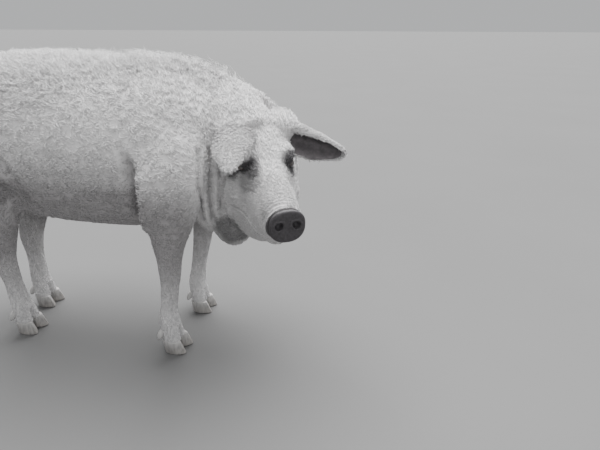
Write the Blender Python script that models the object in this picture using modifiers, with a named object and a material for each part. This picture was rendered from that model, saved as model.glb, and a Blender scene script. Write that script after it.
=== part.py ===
"""A mangalica pig, life size, standing still with its head turned to its right.

Metres. +X is ahead, +Y is the pig's left, +Z is up, and the floor is at z = 0.
The body is shaped whole from a few overlapping forms, and then parted with thin cuts
into the pieces that a person would name. The coat stands over it in curled locks.
"""

import math

import bmesh
import bpy
import numpy as np
from mathutils import Matrix, Vector
from mathutils.bvhtree import BVHTree

# Driving dimensions
COLLECTION = "mangalica_pig"
GAP = 0.0003  # what touching pieces keep between them
GRID = 0.007  # how fine the forms are fused
BODY_TRIANGLES = 3050

# Trunk, bare of its coat: x, sideways shift, top, bottom, half width
TRUNK = (
    (-0.470, -0.040, 0.600, 0.520, 0.030),
    (-0.450, -0.038, 0.650, 0.440, 0.085),
    (-0.380, -0.032, 0.688, 0.380, 0.145),
    (-0.270, -0.022, 0.716, 0.354, 0.176),
    (-0.120, -0.008, 0.736, 0.340, 0.188),
    (0.040, 0.000, 0.735, 0.331, 0.190),
    (0.180, 0.000, 0.722, 0.334, 0.180),
    (0.290, 0.004, 0.706, 0.350, 0.160),
    (0.360, 0.010, 0.675, 0.385, 0.130),
    (0.400, 0.014, 0.630, 0.440, 0.085),
)
TRUNK_SQUARENESS = 2.3

# Neck: centre, half width, half height, and how far the ring is turned
NECK = (
    (0.180, 0.000, 0.545, 0.150, 0.185, 0.0),
    (0.280, 0.008, 0.544, 0.142, 0.172, -8.0),
    (0.370, 0.022, 0.534, 0.126, 0.162, -24.0),
    (0.440, 0.032, 0.520, 0.108, 0.142, -45.0),
)

# Head, along its own axis from its base to the snout disc: distance, top, bottom, half width
HEAD_LENGTH = 0.300
HEAD_TURN = math.radians(-59.0)
HEAD_PITCH = math.radians(-18.0)
SNOUT = Vector((0.588, -0.208, 0.435))
HEAD = (
    (-0.050, 0.075, -0.120, 0.085),
    (0.000, 0.100, -0.160, 0.100),
    (0.050, 0.106, -0.170, 0.101),
    (0.100, 0.090, -0.170, 0.090),
    (0.150, 0.064, -0.158, 0.072),
    (0.200, 0.046, -0.127, 0.055),
    (0.250, 0.038, -0.070, 0.043),
    (0.285, 0.037, -0.044, 0.039),
    (0.300, 0.034, -0.036, 0.036),
)
HEAD_SQUARENESS = 2.2

# Rounded forms on the head: along, aside, up, then the three radii
JOWLS = {  # the neck is stretched on the far side, which draws that jowl flat
    -1: (0.046, 0.058, -0.146, 0.092, 0.058, 0.092),
    1: (0.036, 0.048, -0.130, 0.105, 0.056, 0.088),
}
BROW = (0.118, 0.052, 0.064, 0.036, 0.022, 0.020)
CHEEK = (0.118, 0.050, -0.035, 0.060, 0.034, 0.045)
EAR_BASE = (0.036, 0.062, 0.082, 0.040, 0.034, 0.030)

# The fold that the turned head pushes up on the near side of the neck: x, y, z, radius
NECK_FOLD = (
    (0.378, -0.070, 0.570, 0.020),
    (0.370, -0.078, 0.505, 0.032),
    (0.358, -0.066, 0.440, 0.038),
    (0.348, -0.042, 0.385, 0.038),
    (0.352, -0.018, 0.345, 0.028),
)
# The fill between the neck's crest and the poll: place and radius at each
NAPE = (
    (0.380, 0.036, 0.610, 0.080), (0.412, 0.014, 0.596, 0.076), (0.444, -0.014, 0.580, 0.070),
    (0.474, -0.042, 0.564, 0.060),
)
LIP = (0.215, 0.000, -0.076, 0.050, 0.030, 0.022)

# Snout disc, tilted up from the head's axis
DISC_TILT = math.radians(12.0)
DISC_WIDTH = 0.077
DISC_HEIGHT = 0.074
DISC_ASIDE = 0.002
DISC_THICKNESS = 0.013
DISC_RIM = ((0.0, 0.90), (0.25, 0.97), (0.60, 1.0), (0.88, 0.95), (1.0, 0.84), (1.04, 0.5))
NOSTRIL = (0.0182, 0.001, 0.0085, 0.0095, 0.014)  # aside, up, then its three radii
DISC_SEAT = 0.289  # where the head ends behind the disc

# Eyes: along, up, radius, and how deep the centre sits in the head
EYE_SIDES = (("eye_right", -1), ("eye_left", 1))
EYE_ALONG = 0.135
EYE_UP = 0.044
EYE_RADIUS = 0.0125
EYE_DEPTH = 0.0070
LID_LENGTH = 0.0170
LID_HEIGHT = 0.0085
LID_ROUND = 0.0036

# Line of the mouth, from under the disc back to the cheek
MOUTH_FRONT = 0.274
MOUTH_BACK = 0.128
MOUTH_TURN = math.radians(72.0)  # how far round the muzzle the corner lies
MOUTH_UP = -0.010  # where the rays that find the line start, at the front
MOUTH_BACK_UP = -0.030  # and at the corner
MOUTH_STEPS = 7
MOUTH_GROOVE = 0.0030

# Ears: half width along the length, and how far the sides are rolled in
EAR = (
    (0.00, 0.026, 78.0),
    (0.14, 0.036, 70.0),
    (0.35, 0.046, 48.0),
    (0.60, 0.041, 34.0),
    (0.82, 0.027, 28.0),
    (0.95, 0.014, 30.0),
    (1.00, 0.004, 30.0),
)
EAR_THICKNESS = 0.006
EAR_SUNK = 0.025
EAR_COLUMNS = 9

# Each ear: root, way and facing of its cup in the head's directions, droop, length,
# and how far its upper margin rolls over
EARS = (
    ("ear_right", (0.042, -0.048, 0.105), (0.93, -0.35, 0.07), (0.03, 0.24, -0.97), 0.60, 0.148, 0),
    ("ear_left", (0.051, 0.053, 0.081), (0.04, 0.87, -0.49), (0.75, -0.11, 0.65), 0.61, 0.157, 110),
)

# Legs, from inside the trunk down to the hooves: z, x, y, half length, half width
FORE_LEG = (
    (0.590, 0.298, 0.100, 0.078, 0.050),
    (0.500, 0.306, 0.126, 0.078, 0.061),
    (0.420, 0.300, 0.134, 0.062, 0.054),
    (0.360, 0.288, 0.128, 0.048, 0.043),
    (0.300, 0.274, 0.118, 0.034, 0.033),
    (0.225, 0.263, 0.108, 0.026, 0.026),
    (0.150, 0.249, 0.102, 0.022, 0.022),
    (0.095, 0.240, 0.099, 0.025, 0.027),
    (0.060, 0.244, 0.098, 0.026, 0.031),
    (0.030, 0.248, 0.098, 0.026, 0.033),
)
HIND_LEG = (
    (0.600, -0.300, 0.090, 0.110, 0.060),
    (0.500, -0.275, 0.108, 0.125, 0.072),
    (0.420, -0.223, 0.108, 0.102, 0.060),
    (0.350, -0.201, 0.102, 0.062, 0.045),
    (0.285, -0.213, 0.092, 0.043, 0.034),
    (0.225, -0.227, 0.084, 0.036, 0.026),
    (0.155, -0.223, 0.076, 0.024, 0.021),
    (0.095, -0.222, 0.072, 0.025, 0.026),
    (0.060, -0.216, 0.071, 0.026, 0.031),
    (0.030, -0.211, 0.071, 0.026, 0.033),
)
LEG_PLACES = (
    ("front_right", FORE_LEG, -1, 0.000, 0.000),
    ("front_left", FORE_LEG, 1, -0.009, 0.000),
    ("hind_right", HIND_LEG, -1, 0.011, -0.042),
    ("hind_left", HIND_LEG, 1, -0.036, -0.052),
)

# Thin cuts: the neck's by a point and a tilt, the head's by its place along the head
NECK_SEAM = (0.335, 0.0, 0.55)
NECK_SEAM_TILT = math.radians(22.0)
HEAD_SEAM = 0.002
HEAD_BOX = ((HEAD_SEAM, -0.160, -0.300), (0.42, 0.20, 0.25))

# Where legs are parted from the trunk: height at the middle, then from x to x
FORE_CUT = (0.325, 0.180, 0.420)
HIND_CUT = (0.355, -0.420, -0.095)
CUT_SLANT = 0.58
CUT_INNER = 0.022  # no nearer the middle than this

# Hooves: two toes that stand on the floor and two dewclaws behind them on each foot
HOOF_TOP = 0.036
TOE_ASIDE = 0.0185
TOE_RINGS = (  # height, forward of the leg's end, half length, half width
    (0.0000, 0.0080, 0.0270, 0.0150),
    (0.0040, 0.0090, 0.0285, 0.0165),
    (0.0200, 0.0045, 0.0265, 0.0163),
    (0.0357, 0.0000, 0.0240, 0.0150),
)
DEWCLAW_ASIDE = 0.0200
DEWCLAW_BACK = 0.0210
DEWCLAW_HEIGHT = 0.064
DEWCLAW_LENGTH = 0.026
DEWCLAW_RADIUS = 0.0085
DEWCLAW_TAPER = ((0.0, 0.75), (0.35, 1.0), (0.75, 0.80), (1.0, 0.40))
CLEFT_FROM = 0.004  # the cleft opens ahead of this place along the foot
CLEFT_WIDTH = 0.007
CLEFT_HEIGHT = 0.072

# Tail: it hangs from the rump, a little to one side
TAIL = (
    (-0.440, -0.040, 0.622, 0.020),
    (-0.478, -0.041, 0.612, 0.017),
    (-0.502, -0.042, 0.575, 0.014),
    (-0.512, -0.046, 0.520, 0.012),
    (-0.508, -0.052, 0.460, 0.010),
    (-0.500, -0.056, 0.410, 0.009),
    (-0.498, -0.058, 0.370, 0.007),
)
BRUSH_LOCKS = 6
BRUSH_LENGTH = 0.085
BRUSH_SPREAD = 0.008
BRUSH_RADII = (0.003, 0.0075, 0.0015)

# Coat: how far its tips stand off the skin, in each place
COAT_BACK = 0.020
COAT_BELLY = 0.010
COAT_LEG = 0.004
COAT_CHEEK = 0.007
COAT_FACE = 0.004
COAT_SNOUT = 0.001
CREST_EXTRA = 0.014  # more along the neck's crest
CORE_SHARE = 0.40  # how much of the coat's depth the solid core under the locks takes

# Rounded locks of the coat, laid in loose rows round the body
LOCK_SEED = 7
LOCK_LENGTH = 0.090
LOCK_WIDTH = 0.076
LOCK_THICKNESS = 0.016
LOCK_CURL = 0.014  # how far a tip swings aside
LOCK_ROW = 0.070
LOCK_PITCH = 0.084
LOCK_FROM = -0.43
LOCK_TO = 0.40
CLEAR_OF_EAR = 0.095
CLEAR_OF_TAIL = 0.058
LOCKS_ON_RUMP = 10
LOCK_RUMP_FROM = -0.36
LOCK_RUMP_LEAN = 0.75  # how far backward the rays of the first row lean
LOCK_NECK_FROM = 0.30  # from here on the rows turn with the neck
LOCK_FACE = 0.30  # the share of face at which the last of them stand
LOCK_LOWEST = 0.335  # no locks on the legs below this
LOCK_BELLY = -0.86  # nor where the trunk faces down more than this
LOCK_TURN = 0.55  # the widest turn off the lie of the coat, in radians
LOCK_SHAPE = (  # along the lock, share of its width, share of the coat's depth
    (-0.10, 0.72, -0.50),
    (0.26, 1.00, 0.52),
    (0.76, 0.86, 0.70),
    (1.04, 0.32, 0.34),
)
# One section of a lock: aside in half widths, and up in thicknesses
LOCK_ARCH = ((1.0, -0.75), (0.64, 0.28), (0.0, 0.60), (-0.64, 0.28), (-1.0, -0.75))


def through(stations, steps):
    """A smooth curve through each column of a table, with a few rows between its rows."""
    rows = np.array(stations, float)
    padded = np.vstack([2 * rows[0] - rows[1], rows, 2 * rows[-1] - rows[-2]])
    out = []
    for i in range(1, len(padded) - 2):
        before, start, end, after = padded[i - 1 : i + 3]
        for t in np.arange(steps) / steps:
            out.append(
                0.5
                * (
                    2 * start
                    + (end - before) * t
                    + (2 * before - 5 * start + 4 * end - after) * t * t
                    + (3 * start - before - 3 * end + after) * t**3
                )
            )
    out.append(rows[-1])
    return np.array(out)


def ring(centre, side, up, half_width, rise, drop, squareness=2.0, count=32):
    """One section: an oval, fuller than an ellipse where squareness is over 2."""
    power = 2.0 / squareness
    points = []
    for i in range(count):
        angle = 2 * math.pi * i / count
        c, s = math.cos(angle), math.sin(angle)
        across = half_width * math.copysign(abs(c) ** power, c)
        height = (rise if s > 0 else drop) * math.copysign(abs(s) ** power, s)
        points.append(Vector(centre) + Vector(side) * across + Vector(up) * height)
    return points


def loft(name, rings):
    """A closed skin over a row of rings, with a fan at each end."""
    bm = bmesh.new()
    rows = [[bm.verts.new(p) for p in points] for points in rings]
    count = len(rows[0])
    for low, high in zip(rows, rows[1:]):
        for i in range(count):
            j = (i + 1) % count
            bm.faces.new((low[i], low[j], high[j], high[i]))
    for row in (rows[0], rows[-1]):
        bm.faces.new(row)
    bmesh.ops.recalc_face_normals(bm, faces=bm.faces)
    mesh = bpy.data.meshes.new(name)
    bm.to_mesh(mesh)
    bm.free()
    return add_object(name, mesh)


def add_object(name, mesh):
    obj = bpy.data.objects.new(name, mesh)
    bpy.context.scene.collection.objects.link(obj)
    return obj


def ball(name, matrix, segments=24):
    """A sphere of radius 1, stretched and placed by a matrix."""
    bm = bmesh.new()
    bmesh.ops.create_uvsphere(bm, u_segments=segments, v_segments=segments // 2, radius=1.0)
    bm.transform(matrix)
    mesh = bpy.data.meshes.new(name)
    bm.to_mesh(mesh)
    bm.free()
    return add_object(name, mesh)


def evaluated(obj):
    """The object's mesh with its modifiers applied."""
    graph = bpy.context.evaluated_depsgraph_get()
    return bpy.data.meshes.new_from_object(obj.evaluated_get(graph))


def head_axes():
    """The head's own directions: ahead, to its left, and up."""
    ahead = Vector(
        (
            math.cos(HEAD_TURN) * math.cos(HEAD_PITCH),
            math.sin(HEAD_TURN) * math.cos(HEAD_PITCH),
            math.sin(HEAD_PITCH),
        )
    )
    left = Vector((-math.sin(HEAD_TURN), math.cos(HEAD_TURN), 0.0))
    return ahead, left, ahead.cross(left)


def head_point(along, aside, height):
    """A place given from the head's base, in the head's own directions."""
    ahead, left, up = head_axes()
    base = SNOUT - ahead * HEAD_LENGTH
    return base + ahead * along + left * aside + up * height


def head_ball(name, place, side=1):
    """A rounded form on the head: its place and its three radii."""
    along, aside, height, long_r, side_r, up_r = place
    ahead, left, up = head_axes()
    turn = Matrix((ahead * long_r, left * side_r, up * up_r)).transposed().to_4x4()
    return ball(name, Matrix.Translation(head_point(along, side * aside, height)) @ turn)


def trunk_form():
    rings = []
    for x, shift, top, bottom, half_width in through(TRUNK, 4):
        middle = bottom + 0.48 * (top - bottom)
        rings.append(
            ring(
                (x, shift, middle), (0, 1, 0), (0, 0, 1), half_width,
                top - middle, middle - bottom, TRUNK_SQUARENESS,
            )
        )
    return loft("trunk_form", rings)


def neck_form():
    rings = []
    for x, y, z, half_width, half_height, turn in through(NECK, 4):
        side = (-math.sin(math.radians(turn)), math.cos(math.radians(turn)), 0)
        rings.append(ring((x, y, z), side, (0, 0, 1), half_width, half_height, half_height))
    return loft("neck_form", rings)


def head_forms():
    ahead, left, up = head_axes()
    rings = []
    for along, top, bottom, half_width in through(HEAD, 4):
        middle = 0.45 * top + 0.55 * bottom
        rings.append(
            ring(
                head_point(along, 0, middle), left, up, half_width,
                top - middle, middle - bottom, HEAD_SQUARENESS,
            )
        )
    forms = [loft("head_form", rings), head_ball("lip_form", LIP)]
    for side in (-1, 1):
        for place in (JOWLS[side], BROW, CHEEK, EAR_BASE):
            forms.append(head_ball("head_swelling", place, side))
    for name, table in (("neck_fold", NECK_FOLD), ("nape_fill", NAPE)):
        rows = through(table, 3)
        forms.append(tube(name, [row[:3] for row in rows], [row[3] for row in rows], 14))
    return forms


def leg_form(stations, side, forward, shift):
    rings = []
    for z, x, y, half_length, half_width in through(stations, 3):
        rings.append(
            ring(
                (x + forward, side * y + shift, z), (1, 0, 0), (0, 1, 0),
                half_length, half_width, half_width, count=20,
            )
        )
    return loft("leg_form", rings)


def join(objects):
    bpy.ops.object.select_all(action="DESELECT")
    for obj in objects:
        obj.select_set(True)
    bpy.context.view_layer.objects.active = objects[0]
    bpy.ops.object.join()
    return objects[0]


def fused(forms, grid):
    """The forms as one closed mesh, with the creases between them rounded."""
    whole = join(forms)
    remesh = whole.modifiers.new("Fuse", "REMESH")
    remesh.mode = "VOXEL"
    remesh.voxel_size = grid
    smooth = whole.modifiers.new("Round the creases", "SMOOTH")
    smooth.factor = 0.5
    smooth.iterations = 8
    mesh = evaluated(whole)
    bpy.data.objects.remove(whole)
    return mesh


def ramp(value, start, end):
    """From 0 at start to 1 at end, eased at both."""
    t = min(max((value - start) / (end - start), 0.0), 1.0)
    return t * t * (3 - 2 * t)


def head_place(point):
    """A point in the head's own directions, from the head's base."""
    ahead, left, up = head_axes()
    offset = point - head_point(0, 0, 0)
    return offset.dot(ahead), offset.dot(left), offset.dot(up)


def in_head(point):
    """How much a point belongs to the face: 0 on the neck, 1 from the cheeks on."""
    along, aside, height = head_place(point)
    near = 1 - ramp(math.hypot(aside, height + 0.03), 0.15, 0.21)
    return ramp(along, -0.02, 0.09) * near


def coat_depth(point):
    """How far the tips of the coat stand off the skin at a point of the skin."""
    depth = COAT_BELLY + (COAT_BACK - COAT_BELLY) * ramp(point.z, 0.34, 0.52)
    depth += CREST_EXTRA * ramp(point.z, 0.66, 0.72) * ramp(point.x, 0.12, 0.30)
    depth = COAT_LEG + (depth - COAT_LEG) * ramp(point.z, 0.27, 0.42)
    along, _, _ = head_place(point)
    face = COAT_CHEEK + (COAT_FACE - COAT_CHEEK) * ramp(along, 0.10, 0.17)
    face += (COAT_SNOUT - face) * ramp(along, 0.22, 0.28)
    return depth + (face - depth) * in_head(point)


def grown(mesh, depth):
    """The mesh with each point moved out along its normal by depth(point)."""
    normals = [v.normal.copy() for v in mesh.vertices]
    moved = [v.co + n * depth(v.co) for v, n in zip(mesh.vertices, normals)]
    for vertex, place in zip(mesh.vertices, moved):
        vertex.co = place
    return mesh


def simplified(name, mesh, triangles):
    """The mesh in fewer triangles, with the finest of them on the head and the feet."""
    obj = add_object(name, mesh)
    group = obj.vertex_groups.new(name="plain")
    for vertex in mesh.vertices:
        fine = max(in_head(vertex.co), 0.6 * (1 - ramp(vertex.co.z, 0.20, 0.40)))
        fine = max(fine, 0.35 * ramp(vertex.co.x, 0.20, 0.32))
        group.add([vertex.index], 1 - 0.62 * fine, "REPLACE")
    decimate = obj.modifiers.new("Simplify", "DECIMATE")
    decimate.vertex_group = "plain"
    decimate.vertex_group_factor = 1.6
    decimate.ratio = triangles / (2 * len(mesh.polygons))
    decimate.use_collapse_triangulate = True
    result = evaluated(obj)
    bpy.data.objects.remove(obj)
    return result


def boolean(obj, other, operation):
    """Applies one Boolean to the object and removes the other piece."""
    modifier = obj.modifiers.new("Cut", "BOOLEAN")
    modifier.operation = operation
    modifier.solver = "MANIFOLD"
    modifier.object = other
    mesh = evaluated(obj)
    obj.modifiers.remove(modifier)
    obj.data = mesh
    bpy.data.objects.remove(other)
    return obj


def fuse_all(obj, pieces):
    """Joins many closed pieces to an object with one Boolean, and removes them."""
    group = bpy.data.collections.new("fused")
    bpy.context.scene.collection.children.link(group)
    for piece in pieces:
        group.objects.link(piece)
    modifier = obj.modifiers.new("Fuse", "BOOLEAN")
    modifier.operation = "UNION"
    modifier.solver = "MANIFOLD"
    modifier.operand_type = "COLLECTION"
    modifier.collection = group
    mesh = evaluated(obj)
    obj.modifiers.remove(modifier)
    obj.data = mesh
    for piece in pieces:
        bpy.data.objects.remove(piece)
    bpy.data.collections.remove(group)
    return keep_largest(obj)


def keep_largest(obj):
    """Drops loose scraps and sealed hollows, so that one closed surface is left."""
    bm = bmesh.new()
    bm.from_mesh(obj.data)
    left = set(bm.verts)
    shells = []
    while left:
        shell = [left.pop()]
        for vert in shell:
            for edge in vert.link_edges:
                other = edge.other_vert(vert)
                if other in left:
                    left.discard(other)
                    shell.append(other)
        shells.append(shell)
    shells.sort(key=len)
    bmesh.ops.delete(bm, geom=[v for shell in shells[:-1] for v in shell], context="VERTS")
    bm.to_mesh(obj.data)
    bm.free()
    return obj


def block(name, low, high, matrix=None):
    """A box between two corners, placed by a matrix."""
    bm = bmesh.new()
    bmesh.ops.create_cube(bm, size=1.0)
    size = Vector(high) - Vector(low)
    middle = (Vector(high) + Vector(low)) / 2
    bm.transform(Matrix.Translation(middle) @ Matrix.Diagonal(size.to_4d()))
    if matrix:
        bm.transform(matrix)
    mesh = bpy.data.meshes.new(name)
    bm.to_mesh(mesh)
    bm.free()
    return add_object(name, mesh)


def part_off(whole, name, low, high, matrix=None):
    """Cuts the piece inside a box off the whole, with a thin gap between the two."""
    piece = add_object(name, whole.data.copy())
    margin = Vector((GAP, GAP, GAP))
    inner = block("cut", low, high, matrix)
    outer = block("cut", Vector(low) - margin, Vector(high) + margin, matrix)
    keep_largest(boolean(piece, inner, "INTERSECT"))
    keep_largest(boolean(whole, outer, "DIFFERENCE"))
    return piece


def surface_point(tree, start, toward):
    """Where a ray from inside the body leaves it, and the way the surface faces there."""
    place, normal, _, _ = tree.ray_cast(start, toward.normalized())
    return place, normal


def eye_place(tree, side):
    """The middle of an eye and the way it looks."""
    ahead, left, up = head_axes()
    start = head_point(EYE_ALONG, 0, EYE_UP)
    place, _ = surface_point(tree, start, left * side)
    look = (left * side * 0.9 + ahead * 0.42 + up * 0.12).normalized()
    return place - look * EYE_DEPTH, look


def eye_ball(name, centre, radius):
    return ball(name, Matrix.Translation(centre) @ Matrix.Scale(radius, 4), 12)


def tube(name, points, radius, sides=6):
    """A closed round tube through a row of points."""
    points = [Vector(p) for p in points]
    rings = []
    side = None
    for i, point in enumerate(points):
        way = (points[min(i + 1, len(points) - 1)] - points[max(i - 1, 0)]).normalized()
        side = way.orthogonal() if side is None else side - way * side.dot(way)
        side.normalize()
        size = radius[i] if isinstance(radius, (list, tuple)) else radius
        rings.append(ring(point, side, way.cross(side), size, size, size, count=sides))
    return loft(name, rings)


def lid_form(centre, look):
    """An almond rim round the eye: both lids in one closed band."""
    ahead, left, up = head_axes()
    along = (ahead - look * ahead.dot(look)).normalized()
    rise = look.cross(along).normalized()
    if rise.dot(up) < 0:
        rise = -rise
    rings = []
    count = 12
    for i in range(count):
        angle = 2 * math.pi * i / count
        c, s = math.cos(angle), math.sin(angle)
        bulge = EYE_RADIUS * (0.80 - 0.42 * c * c)
        middle = centre + along * LID_LENGTH * c + rise * LID_HEIGHT * s + look * bulge
        outward = (along * c * LID_HEIGHT + rise * s * LID_LENGTH).normalized()
        fat = LID_ROUND * (1.15 if s > 0 else 0.85)
        rings.append(ring(middle, outward, look, fat, fat, fat * 1.8, count=4))
    bm = bmesh.new()
    rows = [[bm.verts.new(p) for p in points] for points in rings]
    for row, after in zip(rows, rows[1:] + rows[:1]):
        for i in range(4):
            j = (i + 1) % 4
            bm.faces.new((row[i], row[j], after[j], after[i]))
    bmesh.ops.recalc_face_normals(bm, faces=bm.faces)
    mesh = bpy.data.meshes.new("lid_form")
    bm.to_mesh(mesh)
    bm.free()
    return add_object("lid_form", mesh)


def mouth_path(tree, side):
    """The line of the mouth on one side, from the middle of the front to its corner."""
    ahead, left, up = head_axes()
    points = []
    for i in range(MOUTH_STEPS):
        t = i / (MOUTH_STEPS - 1)
        along = MOUTH_FRONT + (MOUTH_BACK - MOUTH_FRONT) * t
        angle = MOUTH_TURN * math.sin(math.pi / 2 * min(1.0, t * 1.5))
        toward = left * side * math.sin(angle) - up * math.cos(angle)
        start = head_point(along, 0, MOUTH_UP + (MOUTH_BACK_UP - MOUTH_UP) * t)
        place, _ = surface_point(tree, start, toward)
        points.append(place)
    return points


def lock_form(tree, root, lie, size, rng):
    """One lock: rooted under the skin, laid back over it, arched on top and curled at its tip."""
    length, half, thickness = LOCK_LENGTH * size, LOCK_WIDTH * size / 2, LOCK_THICKNESS
    curl = rng.uniform(-1, 1) * LOCK_CURL
    lift = rng.uniform(0.85, 1.0)
    spot, normal, _, _ = tree.find_nearest(root)
    way = lie - normal * lie.dot(normal)
    way = (Matrix.Rotation(rng.uniform(-1, 1) * LOCK_TURN, 3, normal) @ way).normalized()
    rings = []
    reached = 0.5
    for share, broad, rise in LOCK_SHAPE:
        spot, normal, _, _ = tree.find_nearest(spot + way * (share - reached) * length)
        reached = share
        way = (way - normal * way.dot(normal)).normalized()
        side = normal.cross(way)
        middle = spot + normal * coat_depth(spot) * rise * lift
        middle += side * curl * max(share, 0.0) ** 2
        rings.append(
            [middle + side * half * broad * a + normal * thickness * b for a, b in LOCK_ARCH]
        )
    return loft("lock", rings)


def body_axis(x):
    """The middle of the trunk or the neck at one length along the body, and its girth."""
    table = TRUNK if x < LOCK_NECK_FROM else NECK
    columns = list(zip(*table))
    row = [float(np.interp(x, columns[0], column)) for column in columns]
    if table is TRUNK:
        _, shift, top, bottom, half = row
        return Vector((x, shift, (top + bottom) / 2)), math.pi * (half + (top - bottom) / 2), 0.0
    _, y, z, half_width, half_height, turn = row
    return Vector((x, y, z)), math.pi * (half_width + half_height), math.radians(turn)


def body_locks(tree, rng):
    """Loose rows of locks round the trunk and the neck, each set off from the row before."""
    locks = []
    roots = [head_point(*row[1]) for row in EARS]
    bare = [(root, CLEAR_OF_EAR) for root in roots]
    bare += [(Vector(row[:3]), CLEAR_OF_TAIL) for row in through(TAIL, 3)]
    for i, x in enumerate([LOCK_RUMP_FROM, *np.arange(LOCK_FROM, LOCK_TO, LOCK_ROW)]):
        middle, girth, turn = body_axis(x)
        count = LOCKS_ON_RUMP if i == 0 else round(girth / LOCK_PITCH)
        for j in range(count):
            angle = 2 * math.pi * (j + 0.5 * (i % 2) + rng.uniform(-0.15, 0.15)) / count
            back = -LOCK_RUMP_LEAN if i == 0 else rng.uniform(-0.08, 0.08)
            toward = Vector((back, math.sin(angle), math.cos(angle)))
            toward.rotate(Matrix.Rotation(turn, 3, "Z"))
            size = rng.uniform(0.88, 1.12)
            place, normal = surface_point(tree, middle, toward)
            if place is None or place.z < LOCK_LOWEST or toward.z < LOCK_BELLY:
                continue
            if min((place - spot).length - room for spot, room in bare) < 0:
                continue
            if in_head(place) > LOCK_FACE:
                continue
            lie = Vector((-1.0, 0.0, -0.5 * (1 - abs(normal.z))))
            lie.rotate(Matrix.Rotation(turn, 3, "Z"))
            locks.append(lock_form(tree, place, lie, size, rng))
    return locks


def disc_axes():
    ahead, left, up = head_axes()
    turn = Matrix.Rotation(-DISC_TILT, 3, left)
    return turn @ ahead, left, turn @ up


def nose_piece():
    """The snout disc: a low drum with a rounded rim and two nostrils."""
    front, left, up = disc_axes()
    seat = SNOUT - head_axes()[0] * (HEAD_LENGTH - DISC_SEAT) + front * GAP + left * DISC_ASIDE
    half_width, half_height = DISC_WIDTH / 2, DISC_HEIGHT / 2
    rings = []
    for depth, share in DISC_RIM:
        centre = seat + front * DISC_THICKNESS * depth
        rings.append(
            ring(
                centre, left, up, half_width * share, half_height * share * 0.94,
                half_height * share * 1.04, 2.3, count=18,
            )
        )
    nose = loft("nose", rings)
    aside, height, side_r, up_r, deep = NOSTRIL
    for side in (-1, 1):
        centre = seat + front * DISC_THICKNESS * 1.1 + left * side * aside + up * height
        turn = Matrix((front * deep * 0.85, left * side_r, up * up_r)).transposed().to_4x4()
        cutter = ball("nostril_cutter", Matrix.Translation(centre) @ turn, 10)
        boolean(nose, cutter, "DIFFERENCE")
    return keep_largest(nose)


def ear_section(half_width, roll, over):
    """Places across an ear: an arc, whose first margin may roll over on itself."""
    share = np.linspace(-1, 1, EAR_COLUMNS)
    angle = math.radians(roll) * share
    angle -= math.radians(over) * np.clip((-share - 0.15) / 0.85, 0, 1) ** 1.2
    middle = (angle[1:] + angle[:-1]) / 2
    steps = np.column_stack([np.cos(middle), np.sin(middle)]) * half_width * (share[1] - share[0])
    run = np.vstack([(0.0, 0.0), np.cumsum(steps, axis=0)])
    return run - run[EAR_COLUMNS // 2]


def ear_piece(name, place, way, cup, droop, length, over):
    """An ear: a leaf rolled into a cup at its root, thick as the real one."""
    ahead, left, up = head_axes()
    frame = Matrix((ahead, left, up)).transposed()
    way = (frame @ Vector(way)).normalized()
    cup = frame @ Vector(cup)
    cup = (cup - way * cup.dot(way)).normalized()
    across = way.cross(cup).normalized()
    root = head_point(*place) - way * EAR_SUNK
    bm = bmesh.new()
    rows = []
    for t, half_width, roll in through(EAR, 2):
        middle = root + way * (length + EAR_SUNK) * t + cup * droop * length * t * t * 0.5
        section = ear_section(half_width, roll, over * (1 - 0.2 * t * t))
        rows.append([bm.verts.new(middle + across * a + cup * b) for a, b in section])
    for row, after in zip(rows, rows[1:]):
        for i in range(EAR_COLUMNS - 1):
            bm.faces.new((row[i], row[i + 1], after[i + 1], after[i]))
    bmesh.ops.recalc_face_normals(bm, faces=bm.faces)
    mesh = bpy.data.meshes.new(name)
    bm.to_mesh(mesh)
    bm.free()
    ear = add_object(name, mesh)
    solid = ear.modifiers.new("Thickness", "SOLIDIFY")
    solid.thickness = EAR_THICKNESS
    solid.offset = 0.0
    ear.data = evaluated(ear)
    ear.modifiers.clear()
    return ear


def clear_of(piece, neighbour):
    """Cuts a piece back to a thin gap from its neighbour."""
    cutter = add_object("cutter", grown(neighbour.data.copy(), lambda point: GAP))
    return keep_largest(boolean(piece, cutter, "DIFFERENCE"))


def tail_piece():
    """The tail: a tapering tube that ends in a brush of pointed locks."""
    points = through(TAIL, 2)
    tail = tube("tail", [row[:3] for row in points], [row[3] for row in points], 8)
    end = Vector(TAIL[-1][:3])
    brush = []
    for i in range(BRUSH_LOCKS):
        angle = 2 * math.pi * i / BRUSH_LOCKS
        aside = Vector((math.cos(angle), math.sin(angle), 0))
        length = BRUSH_LENGTH * (1 - 0.25 * (i % 2))
        path = [end + Vector((0, 0, length * 0.45)) + aside * 0.002]
        path.append(end + aside * BRUSH_SPREAD)
        path.append(end - Vector((0, 0, length * 0.55)) + aside * BRUSH_SPREAD * 1.2)
        brush.append(tube("brush", path, BRUSH_RADII, 4))
    return fuse_all(tail, brush)


def toe_piece(name, x, y, side):
    rings = []
    for height, forward, half_length, half_width in TOE_RINGS:
        rings.append(
            ring(
                (x + forward, y + side * TOE_ASIDE, height), (1, 0, 0), (0, 1, 0),
                half_length, half_width, half_width, 2.3, count=11,
            )
        )
    return loft(name, rings)


def dewclaw_piece(name, x, y, side):
    """A short blunt claw that points back and down behind the pastern."""
    rings = []
    for t, share in DEWCLAW_TAPER:
        centre = (
            x - DEWCLAW_BACK - 0.45 * DEWCLAW_LENGTH * t,
            y + side * (DEWCLAW_ASIDE + 0.2 * DEWCLAW_LENGTH * t),
            DEWCLAW_HEIGHT - DEWCLAW_LENGTH * t,
        )
        radius = DEWCLAW_RADIUS * share
        rings.append(ring(centre, (0.92, 0, -0.38), (0, 1, 0), radius, radius, radius, count=7))
    return loft(name, rings)


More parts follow.
